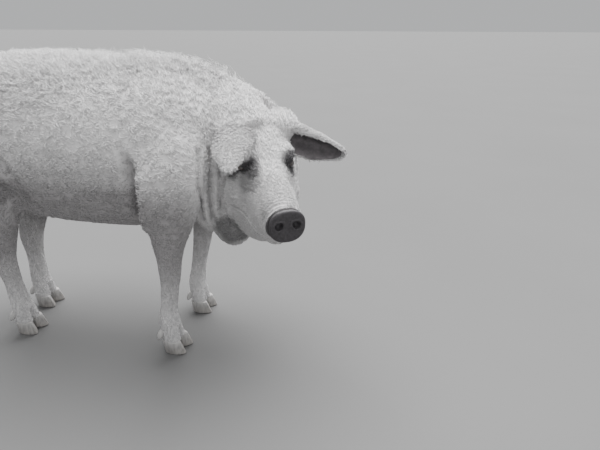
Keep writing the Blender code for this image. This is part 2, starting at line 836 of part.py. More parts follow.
def foot_place(stations, side, forward, shift):
    _, x, y, _, _ = stations[-1]
    return x + forward, side * y + shift


def leg_box(name, side, shift):
    """The box that parts a leg from the trunk: its top slants down towards the middle."""
    top, x_low, x_high = HIND_CUT if name.startswith("hind") else FORE_CUT
    slant = Matrix.Identity(4)
    slant[2][1] = side * CUT_SLANT
    matrix = Matrix.Translation((0, shift, top)) @ slant
    inner, outer = side * CUT_INNER, side * 0.30
    low = (x_low, min(inner, outer), -0.70)
    high = (x_high, max(inner, outer), 0.0)
    return low, high, matrix


def finish(obj, name, material):
    """Names a piece, smooths its shading and gives it its material."""
    obj.name = name
    obj.data.name = name
    obj.data.materials.clear()
    obj.data.materials.append(material)
    bpy.context.scene.collection.objects.unlink(obj)
    bpy.data.collections[COLLECTION].objects.link(obj)
    obj.data.shade_smooth()
    obj.data.set_sharp_from_angle(angle=math.radians(40))
    return obj


def principled(name, colour, roughness):
    material = bpy.data.materials.new(name)
    material.use_nodes = True
    shader = material.node_tree.nodes["Principled BSDF"]
    shader.inputs["Base Color"].default_value = (*colour, 1.0)
    shader.inputs["Roughness"].default_value = roughness
    shader.inputs["Metallic"].default_value = 0.0
    return material


def stand_at_origin():
    """Moves every piece so that the floor point under the middle of the box is the origin."""
    pieces = list(bpy.data.collections[COLLECTION].objects)
    points = np.array([v.co for obj in pieces for v in obj.data.vertices])
    low, high = points.min(axis=0), points.max(axis=0)
    move = Matrix.Translation((-(low[0] + high[0]) / 2, -(low[1] + high[1]) / 2, -low[2]))
    for obj in pieces:
        obj.data.transform(move)


def remove_startup_objects():
    for obj in list(bpy.data.objects):
        bpy.data.objects.remove(obj)


def head_features(whole, eyes, mouths):
    """Raises the lids, sinks the eye sockets and the line of the mouth, and flattens the snout."""
    for centre, look in eyes.values():
        boolean(whole, lid_form(centre, look), "UNION")
        boolean(whole, eye_ball("cut", centre, EYE_RADIUS + GAP), "DIFFERENCE")
    line = list(reversed(mouths[0][1:])) + mouths[1]
    boolean(whole, tube("cut", line, MOUTH_GROOVE, 4), "DIFFERENCE")
    ahead, left, _ = head_axes()
    front, _, disc_up = disc_axes()
    seat = SNOUT - ahead * (HEAD_LENGTH - DISC_SEAT)
    turn = Matrix((front, left, disc_up)).transposed().to_4x4()
    half = DISC_WIDTH
    ahead_of_seat = block("cut", (0, -half, -half), (half, half, half), Matrix.Translation(seat) @ turn)
    keep_largest(boolean(whole, ahead_of_seat, "DIFFERENCE"))


def whole_body(tree, skin, eyes, mouths):
    """The body in one piece: its core, the features of the head and the locks."""
    core = grown(skin, lambda point: CORE_SHARE * coat_depth(point))
    whole = add_object("whole", simplified("whole", core, BODY_TRIANGLES))
    head_features(whole, eyes, mouths)
    fuse_all(whole, body_locks(tree, np.random.default_rng(LOCK_SEED)))
    return boolean(whole, block("cut", (-1, -1, -0.2), (1, 1, HOOF_TOP)), "DIFFERENCE")


def head_piece(whole):
    """Parts the head from the body along its seam with the neck."""
    turn = Matrix(head_axes()).transposed().to_4x4()
    return part_off(whole, "head", *HEAD_BOX, Matrix.Translation(head_point(0, 0, 0)) @ turn)


def legs(whole, coat, horn):
    """Parts the four legs from the body and gives each its hooves and dewclaws."""
    for name, stations, side, forward, shift in LEG_PLACES:
        low, high, matrix = leg_box(name, side, shift)
        leg = part_off(whole, "leg_" + name, low, high, matrix)
        x, y = foot_place(stations, side, forward, shift)
        half = CLEFT_WIDTH / 2
        cleft = block("cut", (x + CLEFT_FROM, y - half, 0), (x + 0.1, y + half, CLEFT_HEIGHT))
        boolean(leg, cleft, "DIFFERENCE")
        finish(leg, "leg_" + name, coat)
        for toe, toe_side in (("inner", -side), ("outer", side)):
            finish(toe_piece("hoof", x, y, toe_side), f"hoof_{name}_{toe}", horn)
            claw = clear_of(dewclaw_piece("dewclaw", x, y, toe_side), leg)
            finish(claw, f"dewclaw_{name}_{toe}", horn)


def main():
    remove_startup_objects()
    bpy.context.scene.collection.children.link(bpy.data.collections.new(COLLECTION))
    coat = principled("coat", (0.62, 0.60, 0.56), 0.9)
    horn = principled("horn", (0.25, 0.23, 0.21), 0.6)
    dark = principled("dark_skin", (0.10, 0.095, 0.095), 0.5)
    eye_stuff = principled("eye", (0.03, 0.02, 0.015), 0.1)

    forms = [trunk_form(), neck_form()] + head_forms()
    for name, stations, side, forward, shift in LEG_PLACES:
        forms.append(leg_form(stations, side, forward, shift))
    skin = fused(forms, GRID)
    tree = BVHTree.FromPolygons(
        [v.co.copy() for v in skin.vertices], [tuple(p.vertices) for p in skin.polygons]
    )
    eyes = {name: eye_place(tree, side) for name, side in EYE_SIDES}
    mouths = [mouth_path(tree, side) for side in (-1, 1)]
    whole = whole_body(tree, skin, eyes, mouths)
    head = head_piece(whole)
    legs(whole, coat, horn)
    collar = Matrix.Translation(NECK_SEAM) @ Matrix.Rotation(NECK_SEAM_TILT, 4, "Y")
    neck = part_off(whole, "neck", (0, -0.4, -0.4), (0.5, 0.4, 0.4), collar)
    for name, (centre, _) in eyes.items():
        finish(eye_ball(name, centre, EYE_RADIUS), name, eye_stuff)
    for name, *form in EARS:
        finish(clear_of(ear_piece(name, *form), head), name, coat)
    finish(clear_of(tail_piece(), whole), "tail", coat)
    finish(head, "head", coat)
    finish(neck, "neck", coat)
    finish(whole, "torso", coat)
    finish(nose_piece(), "nose", dark)
    stand_at_origin()


main()
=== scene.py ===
"""The mangalica pig with its skin, coat, eyes, snout disc, ears and hooves, in a plain studio."""

import math

import bmesh
import bpy
import numpy as np
from mathutils import Matrix, Vector
from mathutils.bvhtree import BVHTree
from mathutils.kdtree import KDTree


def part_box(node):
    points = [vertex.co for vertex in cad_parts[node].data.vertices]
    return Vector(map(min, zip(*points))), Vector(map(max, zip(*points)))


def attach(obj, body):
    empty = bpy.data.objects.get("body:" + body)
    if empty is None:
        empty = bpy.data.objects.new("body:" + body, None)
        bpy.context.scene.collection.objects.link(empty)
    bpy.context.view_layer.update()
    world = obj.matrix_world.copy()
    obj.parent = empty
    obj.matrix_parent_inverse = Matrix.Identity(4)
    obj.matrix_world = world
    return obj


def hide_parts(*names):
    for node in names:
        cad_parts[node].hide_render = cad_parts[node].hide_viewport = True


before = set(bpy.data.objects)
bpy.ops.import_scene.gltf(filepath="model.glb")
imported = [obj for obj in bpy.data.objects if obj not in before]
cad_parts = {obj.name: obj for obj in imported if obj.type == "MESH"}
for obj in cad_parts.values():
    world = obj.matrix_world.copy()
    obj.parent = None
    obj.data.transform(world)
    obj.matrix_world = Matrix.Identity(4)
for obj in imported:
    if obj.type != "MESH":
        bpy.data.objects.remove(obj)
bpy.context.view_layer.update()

# The body's own values in metres, as the solids have them
GRID = 0.004
SMOOTHING = 24
# x, aside, top, bottom and half width
TRUNK = (
    (-0.470, -0.040, 0.600, 0.520, 0.030),
    (-0.450, -0.038, 0.650, 0.440, 0.085),
    (-0.380, -0.032, 0.688, 0.380, 0.145),
    (-0.270, -0.022, 0.716, 0.354, 0.176),
    (-0.120, -0.008, 0.736, 0.340, 0.188),
    (0.040, 0.000, 0.735, 0.331, 0.190),
    (0.180, 0.000, 0.722, 0.334, 0.180),
    (0.290, 0.004, 0.706, 0.350, 0.160),
    (0.360, 0.010, 0.675, 0.385, 0.130),
    (0.400, 0.014, 0.630, 0.440, 0.085),
)
# Middle, half width, half height and turn in degrees
NECK = (
    (0.180, 0.000, 0.545, 0.150, 0.185, 0.0),
    (0.280, 0.008, 0.544, 0.142, 0.172, -8.0),
    (0.370, 0.022, 0.534, 0.126, 0.162, -24.0),
    (0.440, 0.032, 0.520, 0.108, 0.142, -45.0),
)
HEAD_LENGTH = 0.300
HEAD_TURN = math.radians(-59.0)
HEAD_PITCH = math.radians(-18.0)
SNOUT = Vector((0.588, -0.208, 0.435))
# Along the head: top, bottom and half width
HEAD = (
    (-0.050, 0.075, -0.120, 0.085),
    (0.000, 0.100, -0.160, 0.100),
    (0.050, 0.106, -0.170, 0.101),
    (0.100, 0.090, -0.170, 0.090),
    (0.150, 0.064, -0.158, 0.072),
    (0.200, 0.046, -0.127, 0.055),
    (0.250, 0.038, -0.070, 0.043),
    (0.285, 0.037, -0.044, 0.039),
    (0.300, 0.034, -0.036, 0.036),
)
# Swellings of the head: middle, then half sizes along, aside and up
JOWLS = {
    -1: (0.046, 0.058, -0.146, 0.092, 0.058, 0.092),
    1: (0.036, 0.048, -0.130, 0.105, 0.056, 0.088),
}
BROW = {-1: (0.118, 0.052, 0.064, 0.036, 0.022, 0.020), 1: (0.116, 0.048, 0.058, 0.036, 0.020, 0.016)}
CHEEK = (0.118, 0.050, -0.035, 0.060, 0.034, 0.045)
EAR_BASE = (0.036, 0.062, 0.082, 0.040, 0.034, 0.030)
# Fills behind the jowl, and between the neck's crest and the poll: place and radius
NECK_FOLD = (
    (0.378, -0.070, 0.570, 0.020),
    (0.370, -0.078, 0.505, 0.032),
    (0.358, -0.066, 0.440, 0.038),
    (0.348, -0.042, 0.385, 0.038),
    (0.352, -0.018, 0.345, 0.028),
)
NAPE = (
    (0.380, 0.036, 0.610, 0.080), (0.412, 0.014, 0.596, 0.076), (0.444, -0.014, 0.580, 0.070),
    (0.474, -0.042, 0.564, 0.060),
)
LIP = (0.215, 0.000, -0.076, 0.050, 0.030, 0.022)
DISC_TILT = math.radians(12.0)
DISC_WIDTH = 0.077
DISC_HEIGHT = 0.074
DISC_ASIDE = 0.002
SNOUT_ASIDE = 0.005
DISC_THICKNESS = 0.013
DISC_SEAT = 0.289
DISC_COLUMNS = 144
# Share of the disc's thickness, and breadth there, from its back round its edge to its face
DISC_EDGE = (
    (0.0, 0.86), (0.08, 0.93), (0.30, 0.985), (0.60, 1.0), (0.82, 0.975), (0.94, 0.93), (1.0, 0.87),
)
# Aside, height, half width, half height and depth
NOSTRIL = (0.0182, 0.001, 0.0085, 0.0095, 0.014)
EYE_RADIUS = 0.0125
LENS_RISE = 0.0012
LENS_RADIUS = 0.0075
# Where the iris and the pupil begin, and where they are full
IRIS_EDGE = (0.0082, 0.0070)
PUPIL_EDGE = (0.0036, 0.0028)
# Where tufts begin round an eye, and where they are full
EYE_BARE = (0.0165, 0.021)
LID_REACH = 0.030
LID_LENGTH = 0.0125
LID_HEIGHT = 0.0062
# How far the lids lie over the ball
LID_OVER = 0.0017
MOUTH_FRONT = 0.274
MOUTH_BACK = 0.128
MOUTH_TURN = math.radians(72.0)
MOUTH_UP = -0.010
MOUTH_BACK_UP = -0.030
# Share of an ear's length, half width, and roll to each side in degrees
EAR = (
    (0.00, 0.026, 78.0),
    (0.14, 0.036, 70.0),
    (0.35, 0.046, 48.0),
    (0.60, 0.041, 34.0),
    (0.82, 0.027, 28.0),
    (0.95, 0.014, 30.0),
    (1.00, 0.004, 30.0),
)
EAR_THICKNESS = 0.0048
EAR_SUNK = 0.025
EAR_COLUMNS = 33
# An ear's rolled margin: its turn against the solids', its start across the ear, and breadth per degree
MARGIN_ROLL = 1.65
MARGIN_START = 0.10
MARGIN_BREADTH = 0.0013
# Name, root, way and hollow side in the head's axes, droop, length, and the margin's roll in degrees
EARS = (
    ("ear_right", (0.042, -0.048, 0.105), (0.93, -0.35, 0.07), (0.03, 0.24, -0.97), 0.60, 0.148, 0),
    ("ear_left", (0.051, 0.053, 0.081), (0.04, 0.87, -0.49), (0.75, -0.11, 0.65), 0.61, 0.157, 110),
)
# Height, x, aside, half length and half width
FORE_LEG = (
    (0.590, 0.298, 0.100, 0.078, 0.050),
    (0.500, 0.306, 0.126, 0.078, 0.061),
    (0.420, 0.300, 0.134, 0.062, 0.054),
    (0.360, 0.288, 0.128, 0.048, 0.043),
    (0.300, 0.274, 0.118, 0.034, 0.033),
    (0.225, 0.263, 0.108, 0.026, 0.026),
    (0.150, 0.249, 0.102, 0.022, 0.022),
    (0.095, 0.240, 0.099, 0.025, 0.027),
    (0.060, 0.244, 0.098, 0.026, 0.031),
    (0.030, 0.248, 0.098, 0.026, 0.033),
)
HIND_LEG = (
    (0.600, -0.300, 0.090, 0.110, 0.060),
    (0.500, -0.275, 0.108, 0.125, 0.072),
    (0.420, -0.223, 0.108, 0.102, 0.060),
    (0.350, -0.201, 0.102, 0.062, 0.045),
    (0.285, -0.213, 0.092, 0.043, 0.034),
    (0.225, -0.227, 0.084, 0.036, 0.026),
    (0.155, -0.223, 0.076, 0.024, 0.021),
    (0.095, -0.222, 0.072, 0.025, 0.026),
    (0.060, -0.216, 0.071, 0.026, 0.031),
    (0.030, -0.211, 0.071, 0.026, 0.033),
)
# Each leg's name, table and side, and how far it stands ahead and to the left
LEG_PLACES = (
    ("front_right", FORE_LEG, -1, 0.000, 0.000),
    ("front_left", FORE_LEG, 1, -0.009, 0.000),
    ("hind_right", HIND_LEG, -1, 0.011, -0.042),
    ("hind_left", HIND_LEG, 1, -0.036, -0.052),
)
TOE_ASIDE = 0.0185
TOE_COLUMNS = 48
# Rings across the hoof's wall: share of its size, and spacing
GROWTH_RINGS = (0.012, 0.0052)
# Height, place ahead, half length and half width
TOE_RINGS = (
    (0.0000, 0.0080, 0.0270, 0.0150),
    (0.0040, 0.0090, 0.0285, 0.0165),
    (0.0200, 0.0045, 0.0265, 0.0163),
    (0.0357, 0.0000, 0.0240, 0.0150),
)
DEWCLAW_ASIDE = 0.0200
DEWCLAW_BACK = 0.0210
DEWCLAW_HEIGHT = 0.064
DEWCLAW_LENGTH = 0.026
DEWCLAW_RADIUS = 0.0085
DEWCLAW_TAPER = ((0.0, 0.75), (0.35, 1.0), (0.75, 0.80), (1.0, 0.40))
CLEFT_TOP = 0.076
CLEFT_FULL = 0.052
CLEFT_BREADTH = 0.0055
CLEFT_DEPTH = 0.013
HOOF_TOP = 0.034
# Place and radius
TAIL = (
    (-0.440, -0.040, 0.622, 0.020),
    (-0.478, -0.041, 0.612, 0.017),
    (-0.502, -0.042, 0.575, 0.014),
    (-0.512, -0.046, 0.520, 0.012),
    (-0.508, -0.052, 0.460, 0.010),
    (-0.500, -0.056, 0.410, 0.009),
    (-0.498, -0.058, 0.370, 0.007),
)
# How many tufts there are, and how many a coat piece holds at most
BODY_TUFTS = 93000
CREST_HAIRS = 11000
FACE_TUFTS = 24000
EAR_TUFTS = 6500
TAIL_TUFTS = 2600
PIECE_TUFTS = 19000
# The coat's depth over the skin
COAT_BACK = 0.020
COAT_BELLY = 0.010
COAT_LEG = 0.004
COAT_CHEEK = 0.007
COAT_FACE = 0.004
COAT_SNOUT = 0.001
CREST_EXTRA = 0.014

# Heights where the folds fade: from nothing to full at their upper ends, and at their lower ends
NECK_FADE = (0.585, 0.535)
BODY_FADE = (0.570, 0.500)
LOW_FADE = (0.345, 0.385)
# Folds of the neck on the near side, with painted shade along them: places and depth
NECK_FOLDS = (
    (((0.378, -0.124, 0.560), (0.380, -0.139, 0.509), (0.377, -0.139, 0.475), (0.359, -0.103, 0.424),
      (0.352, -0.079, 0.376)), 0.008),
    (((0.388, -0.092, 0.556), (0.390, -0.101, 0.510), (0.387, -0.101, 0.474), (0.381, -0.095, 0.436),
      (0.375, -0.077, 0.391), (0.375, -0.059, 0.354)), 0.012),
    (((0.430, -0.097, 0.507), (0.419, -0.091, 0.474), (0.413, -0.083, 0.434), (0.415, -0.076, 0.396),
      (0.425, -0.074, 0.366)), 0.009),
)
# Folds of the elbow and the flank, with painted shade along them: places, depth, and the side that bulges (1
# ahead)
BODY_FOLDS = (
    (((0.226, 0.170, 0.555), (0.232, 0.170, 0.531), (0.235, 0.170, 0.508), (0.238, 0.168, 0.485),
      (0.239, 0.164, 0.461), (0.235, 0.156, 0.434), (0.231, 0.139, 0.402)), 0.024, 1),
    (((-0.085, 0.196, 0.545), (-0.071, 0.194, 0.517), (-0.061, 0.191, 0.487), (-0.054, 0.186, 0.462),
      (-0.047, 0.173, 0.428), (-0.043, 0.152, 0.395), (-0.048, 0.120, 0.366)), 0.013, -1),
)
# A furrow's form: its breadth, then the place, breadth and share of the ridge beside it
MOUTH_DEPTH = 0.0042
LIP_RISE = 0.0016
NECK_FURROW = (0.0062, 0.0125, 0.0065, 0.35)
BODY_FURROW = (0.014, 0.032, 0.016, 0.40)
MOUTH_FURROW = (0.0026, 0.0065, 0.0032, LIP_RISE / MOUTH_DEPTH)
# Wrinkles: depth and spacing
SNOUT_WRINKLES = (0.0009, 0.0095)
CHEEK_WRINKLES = (0.0007, 0.015)
# Where the skin is smoothed more: how many times, then middles and radii
SOFT_ROUNDS = 60
SOFT_PLACES = (
    ((0.262, 0.150, 0.590), (0.150, 0.110, 0.085)),
    ((-0.300, 0.150, 0.590), (0.160, 0.120, 0.090)),
)
# Hollows in front of the thighs, with painted shade in them: middle, breadth and depth
DENTS = (((-0.092, 0.172, 0.402), 0.050, 0.034), ((-0.105, 0.182, 0.450), 0.034, 0.012))
# Dark patches in the head's own axes, some of them painted shade: middle, half sizes and strength
PATCHES = (
    # Round the eyes: dark skin, with painted shade under the ears laid over it
    ((0.138, -0.046, 0.048), (0.034, 0.036, 0.024), 1.00),
    ((0.116, -0.070, 0.034), (0.034, 0.028, 0.030), 0.95),
    ((0.158, -0.036, 0.050), (0.030, 0.022, 0.026), 0.85),
    ((0.142, 0.056, 0.045), (0.024, 0.024, 0.036), 1.00),
    ((0.172, -0.042, 0.028), (0.034, 0.032, 0.026), 0.50),
    ((0.168, 0.046, 0.022), (0.034, 0.030, 0.026), 0.45),
    # Under the jaw and jowls: painted shade on their underside
    ((0.130, -0.066, -0.144), (0.056, 0.052, 0.046), 0.70),
    ((0.132, 0.066, -0.150), (0.044, 0.044, 0.034), 0.80),
    ((0.262, -0.020, 0.020), (0.020, 0.034, 0.028), 0.38),
    ((0.235, 0.000, 0.034), (0.050, 0.050, 0.036), 0.30),
    ((0.292, 0.000, -0.006), (0.014, 0.070, 0.070), 0.95),
)

# Colours: pale above, grey below, partly as painted shade, and dark in the patches and as painted shade in
# folds and hollows, then what one material alone has
COAT_COLOURS = ((0.93, 0.92, 0.92), (0.42, 0.405, 0.41), (0.070, 0.066, 0.070))
SKIN_COLOURS = ((0.86, 0.845, 0.845), (0.36, 0.345, 0.35), (0.050, 0.047, 0.050))
INNER_EAR = (0.062, 0.056, 0.059)
DISC = (0.037, 0.034, 0.037)
HORN = ((0.20, 0.193, 0.188), (0.40, 0.385, 0.37))
HORN_TOP = (0.66, 0.65, 0.64)
DUST = (0.42, 0.395, 0.37)
IRIS = ((0.050, 0.028, 0.016), (0.018, 0.011, 0.008))
EYE_WHITE = (0.070, 0.056, 0.054)
PUPIL = (0.002, 0.002, 0.002)
FLOOR = ((0.139, 0.139, 0.1385), (0.146, 0.146, 0.1455))
SKY = (0.97, 0.985, 1.0)
# The studio and the camera; the focal length is in pixels of the photo
FLOOR_HALF = 40.0
SKY_STRENGTH = 0.56
KEY_PLACE = (-0.2, 1.1, 3.0)
KEY_STRENGTH = 9.5
KEY_ANGLE = math.radians(70.0)
FRONT_PLACE = (1.6, -2.0, 1.8)
FRONT_POWER = 16.0
FRONT_SIZE = 2.0
LIT_PLACE = (0.0, 0.0, 0.4)
CAMERA_PLACE = (0.8128, -1.0416, 0.816)
CAMERA_TURN = math.radians(103.0)
CAMERA_PITCH = math.radians(-23.5)
PHOTO_WIDTH = 600
FOCAL_PIXELS = 471.0
SENSOR_WIDTH = 36.0

rng = np.random.default_rng(11)


# Shapes made one by one
def through(stations, steps):
    """A smooth curve through each column of a table, with a few rows between its rows."""
    rows = np.array(stations, float)
    padded = np.vstack([2 * rows[0] - rows[1], rows, 2 * rows[-1] - rows[-2]])
    out = []
    for i in range(1, len(padded) - 2):
        before, start, end, after = padded[i - 1 : i + 3]
        bend = 2 * before - 5 * start + 4 * end - after
        rest = 3 * start - before - 3 * end + after
        for t in np.arange(steps) / steps:
            out.append(0.5 * (2 * start + (end - before) * t + bend * t * t + rest * t**3))
    out.append(rows[-1])
    return np.array(out)


def rounded(value, power):
    """A sine or a cosine raised to a power, with its sign kept."""
    return math.copysign(abs(value) ** power, value)


def circle(count):
    """The cosine and the sine of even steps round a circle."""
    angles = [2 * math.pi * i / count for i in range(count)]
    return [(math.cos(angle), math.sin(angle)) for angle in angles]


def ring(centre, side, up, half_width, rise, drop, squareness=2.0, count=32):
    """Points round an oval, which may be squarer than an ellipse and deeper below than above."""
    power = 2.0 / squareness
    points = []
    for c, s in circle(count):
        across = half_width * rounded(c, power)
        height = (rise if s > 0 else drop) * rounded(s, power)
        points.append(Vector(centre) + Vector(side) * across + Vector(up) * height)
    return points


def add_object(name, data):
    obj = bpy.data.objects.new(name, data)
    bpy.context.scene.collection.objects.link(obj)
    return obj


def mesh_of(name, bm):
    bmesh.ops.recalc_face_normals(bm, faces=bm.faces)
    mesh = bpy.data.meshes.new(name)
    bm.to_mesh(mesh)
    bm.free()
    return mesh


def loft(name, rings):
    bm = bmesh.new()
    rows = [[bm.verts.new(p) for p in points] for points in rings]
    count = len(rows[0])
    for low, high in zip(rows, rows[1:]):
        for i in range(count):
            j = (i + 1) % count
            bm.faces.new((low[i], low[j], high[j], high[i]))
    for row in (rows[0], rows[-1]):
        bm.faces.new(row)
    return add_object(name, mesh_of(name, bm))


def ball(name, matrix):
    bm = bmesh.new()
    bmesh.ops.create_uvsphere(bm, u_segments=24, v_segments=12, radius=1.0)
    bm.transform(matrix)
    return add_object(name, mesh_of(name, bm))


def tube(name, points, radii):
    rings = []
    side = None
    points = [Vector(p) for p in points]
    for i, point in enumerate(points):
        way = (points[min(i + 1, len(points) - 1)] - points[max(i - 1, 0)]).normalized()
        side = way.orthogonal() if side is None else side - way * side.dot(way)
        side.normalize()
        rings.append(ring(point, side, way.cross(side), radii[i], radii[i], radii[i], count=16))
    return loft(name, rings)


def taken(obj):
    """The mesh of an object that is no longer needed."""
    mesh = obj.data.copy()
    bpy.data.objects.remove(obj)
    return mesh


def joined(name, objects):
    bpy.ops.object.select_all(action="DESELECT")
    for obj in objects:
        obj.select_set(True)
    bpy.context.view_layer.objects.active = objects[0]
    bpy.ops.object.join()
    objects[0].name = name
    return objects[0]


def heading(turn, pitch):
    """A way, from its turn round the upright and its pitch."""
    level = math.cos(pitch)
    return Vector((math.cos(turn) * level, math.sin(turn) * level, math.sin(pitch)))


def head_axes():
    ahead = heading(HEAD_TURN, HEAD_PITCH)
    left = Vector((-math.sin(HEAD_TURN), math.cos(HEAD_TURN), 0.0))
    return ahead, left, ahead.cross(left)


AHEAD, LEFT, UP = head_axes()
HEAD_BASE = SNOUT - AHEAD * HEAD_LENGTH


def head_point(along, aside, height):
    return HEAD_BASE + AHEAD * along + LEFT * aside + UP * height


def head_ball(place, side=1):
    along, aside, height, long_r, side_r, up_r = place
    turn = Matrix((AHEAD * long_r, LEFT * side_r, UP * up_r)).transposed().to_4x4()
    return ball("swelling", Matrix.Translation(head_point(along, side * aside, height)) @ turn)


# Where a point lies, for arrays of points
def ramp(value, start, end):
    """A smooth step from 0 at start to 1 at end."""
    t = np.clip((value - start) / (end - start), 0.0, 1.0)
    return t * t * (3 - 2 * t)


def bell(value, breadth, middle=0.0):
    """1 at the middle, falling to nothing on both sides of it."""
    return np.exp(-(((value - middle) / breadth) ** 2))


def wave(run, form):
    """A sine along a run, with the depth and the spacing of its form."""
    depth, spacing = form
    return depth * np.sin(run * 2 * math.pi / spacing)


def furrow(near, form, beside=1.0):
    """A groove of depth 1 along a line, and the ridge beside it."""
    breadth, place, ridge, share = form
    return share * bell(near, ridge, place) * beside - bell(near, breadth)


def away(points, place, radii=(1, 1, 1)):
    """The distance of each point from one place, as a share of an oval's radii if they are given."""
    return np.linalg.norm((points - np.array(place)) / np.array(radii), axis=1)


def unit(ways):
    return ways / np.maximum(np.linalg.norm(ways, axis=1), 1e-6)[:, None]


def along_skin(ways, normals):
    """The part of each way that lies along the skin."""
    return ways - normals * np.sum(ways * normals, axis=1)[:, None]


def on_left(points):
    """The points, with those of the right side mirrored to the left."""
    return points * np.where(points[:, 1:2] < 0, (1, -1, 1), (1, 1, 1))


def head_place(points):
    """Each point in the head's own axes: along, aside and height."""
    offset = points - np.array(HEAD_BASE)
    return offset @ np.array(AHEAD), offset @ np.array(LEFT), offset @ np.array(UP)


def in_head(points):
    """1 in the head, 0 in the body, and between them behind the jowl."""
    along, aside, height = head_place(points)
    near = 1 - ramp(np.hypot(aside, height + 0.03), 0.15, 0.21)
    return ramp(along, -0.02, 0.09) * near


def coat_depth(points):
    """The coat's depth at each point: deep above, thin on the legs and the face."""
    x, z = points[:, 0], points[:, 2]
    depth = COAT_BELLY + (COAT_BACK - COAT_BELLY) * ramp(z, 0.34, 0.52)
    depth = depth + CREST_EXTRA * ramp(z, 0.66, 0.72) * ramp(x, 0.12, 0.30)
    depth = COAT_LEG + (depth - COAT_LEG) * ramp(z, 0.27, 0.42)
    along, _, _ = head_place(points)
    face = COAT_CHEEK + (COAT_FACE - COAT_CHEEK) * ramp(along, 0.10, 0.17)
    face = face + (COAT_SNOUT - face) * ramp(along, 0.22, 0.28)
    return depth + (face - depth) * in_head(points)


def waves(points, scale, seed):
    """Smooth unevenness between -1 and 1, from a few sums of sines."""
    draw = np.random.default_rng(seed)
    total = np.zeros(len(points))
    size = 0.0
    for octave in range(3):
        for _ in range(7):
            way = draw.normal(size=3)
            way *= scale * 2**octave / np.linalg.norm(way)
            total += np.sin(points @ way + draw.uniform(0, 6.28)) * 0.5**octave
            size += 0.5 * 0.5**octave
    return total / size


# The body's forms, fused as the solids' forms are
def trunk_form():
    rings = []
    for x, shift, top, bottom, half_width in through(TRUNK, 4):
        middle = bottom + 0.48 * (top - bottom)
        sizes = half_width, top - middle, middle - bottom
        rings.append(ring((x, shift, middle), (0, 1, 0), (0, 0, 1), *sizes, 2.3))
    return loft("trunk", rings)


def neck_form():
    rings = []
    for x, y, z, half_width, half_height, turn in through(NECK, 4):
        side = (-math.sin(math.radians(turn)), math.cos(math.radians(turn)), 0)
        rings.append(ring((x, y, z), side, (0, 0, 1), half_width, half_height, half_height))
    return loft("neck_form", rings)


def head_form():
    rings = []
    for along, top, bottom, half_width in through(HEAD, 4):
        middle = 0.45 * top + 0.55 * bottom
        sizes = half_width, top - middle, middle - bottom
        rings.append(ring(head_point(along, 0, middle), LEFT, UP, *sizes, 2.2))
    return loft("head_form", rings)


def leg_form(stations, side, forward, shift):
    rings = []
    for z, x, y, half_length, half_width in through(stations, 3):
        centre = (x + forward, side * y + shift, z)
        rings.append(ring(centre, (1, 0, 0), (0, 1, 0), half_length, half_width, half_width, count=20))
    return loft("leg_form", rings)


def body_forms():
    forms = [trunk_form(), neck_form(), head_form(), head_ball(LIP)]
    for side in (-1, 1):
        forms += [head_ball(place, side) for place in (JOWLS[side], BROW[side], CHEEK, EAR_BASE)]
    for table in (NECK_FOLD, NAPE):
        rows = through(table, 3)
        forms.append(tube("fill", rows[:, :3], rows[:, 3]))
    return forms + [leg_form(*leg[1:]) for leg in LEG_PLACES]


def fused(forms):
    whole = joined("body_form", forms)
    remesh = whole.modifiers.new("Fuse", "REMESH")
    remesh.mode = "VOXEL"
    remesh.voxel_size = GRID
    smooth = whole.modifiers.new("Round the creases", "SMOOTH")
    smooth.factor = 0.5
    smooth.iterations = SMOOTHING
    graph = bpy.context.evaluated_depsgraph_get()
    mesh = bpy.data.meshes.new_from_object(whole.evaluated_get(graph))
    bpy.data.objects.remove(whole)
    return mesh


def rows_of(items, key):
    flat = np.empty(len(items) * 3)
    items.foreach_get(key, flat)
    return flat.reshape(-1, 3)


def points_of(mesh):
    return rows_of(mesh.vertices, "co")


def normals_of(mesh):
    return rows_of(mesh.vertex_normals, "vector")


def moved(mesh, points):
    """The mesh with its points at new places."""
    mesh.vertices.foreach_set("co", points.ravel())
    mesh.update()
    return mesh


def tree_of(mesh):
    points = [vertex.co.copy() for vertex in mesh.vertices]
    return BVHTree.FromPolygons(points, [tuple(face.vertices) for face in mesh.polygons])


def foot_place(leg):
    """The x and y of a leg's foot."""
    _, stations, side, forward, shift = leg
    return stations[-1][1] + forward, side * stations[-1][2] + shift


def frame_shift():
    """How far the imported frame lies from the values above: one hoof tells."""
    x, y = foot_place(LEG_PLACES[0])
    y += LEG_PLACES[0][2] * TOE_ASIDE
    points = []
    for height, ahead, half_length, half_width in TOE_RINGS:
        centre = (x + ahead, y, height)
        points += ring(centre, (1, 0, 0), (0, 1, 0), half_length, half_width, half_width, 2.3, count=11)
    low = np.array(points).min(axis=0)
    return Vector(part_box("hoof_front_right_outer")[0]) - Vector(low)


SHIFT = frame_shift()


def eye_places():
    """The middles of the eyes as the solids have them, and the ways they look."""
    places = {}
    for name, side in (("eye_right", -1), ("eye_left", 1)):
        low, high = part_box(name)
        centre = (Vector(low) + Vector(high)) / 2 - SHIFT
        places[name] = (centre, (LEFT * side * 0.9 + AHEAD * 0.42 + UP * 0.12).normalized())
    return places


EYES = eye_places()


def mouth_path(tree):
    """The line of the mouth, from one corner round the front to the other."""
    sides = []
    steps = 13
    for side in (-1, 1):
        points = []
        for i in range(steps):
            t = i / (steps - 1)
            along = MOUTH_FRONT + (MOUTH_BACK - MOUTH_FRONT) * t
            angle = MOUTH_TURN * math.sin(math.pi / 2 * min(1.0, t * 1.5))
            toward = LEFT * side * math.sin(angle) - UP * math.cos(angle)
            start = head_point(along, 0, MOUTH_UP + (MOUTH_BACK_UP - MOUTH_UP) * t)
            place, _, _, _ = tree.ray_cast(start, toward.normalized())
            points.append(place)
        sides.append(points)
    return list(reversed(sides[0][1:])) + sides[1]


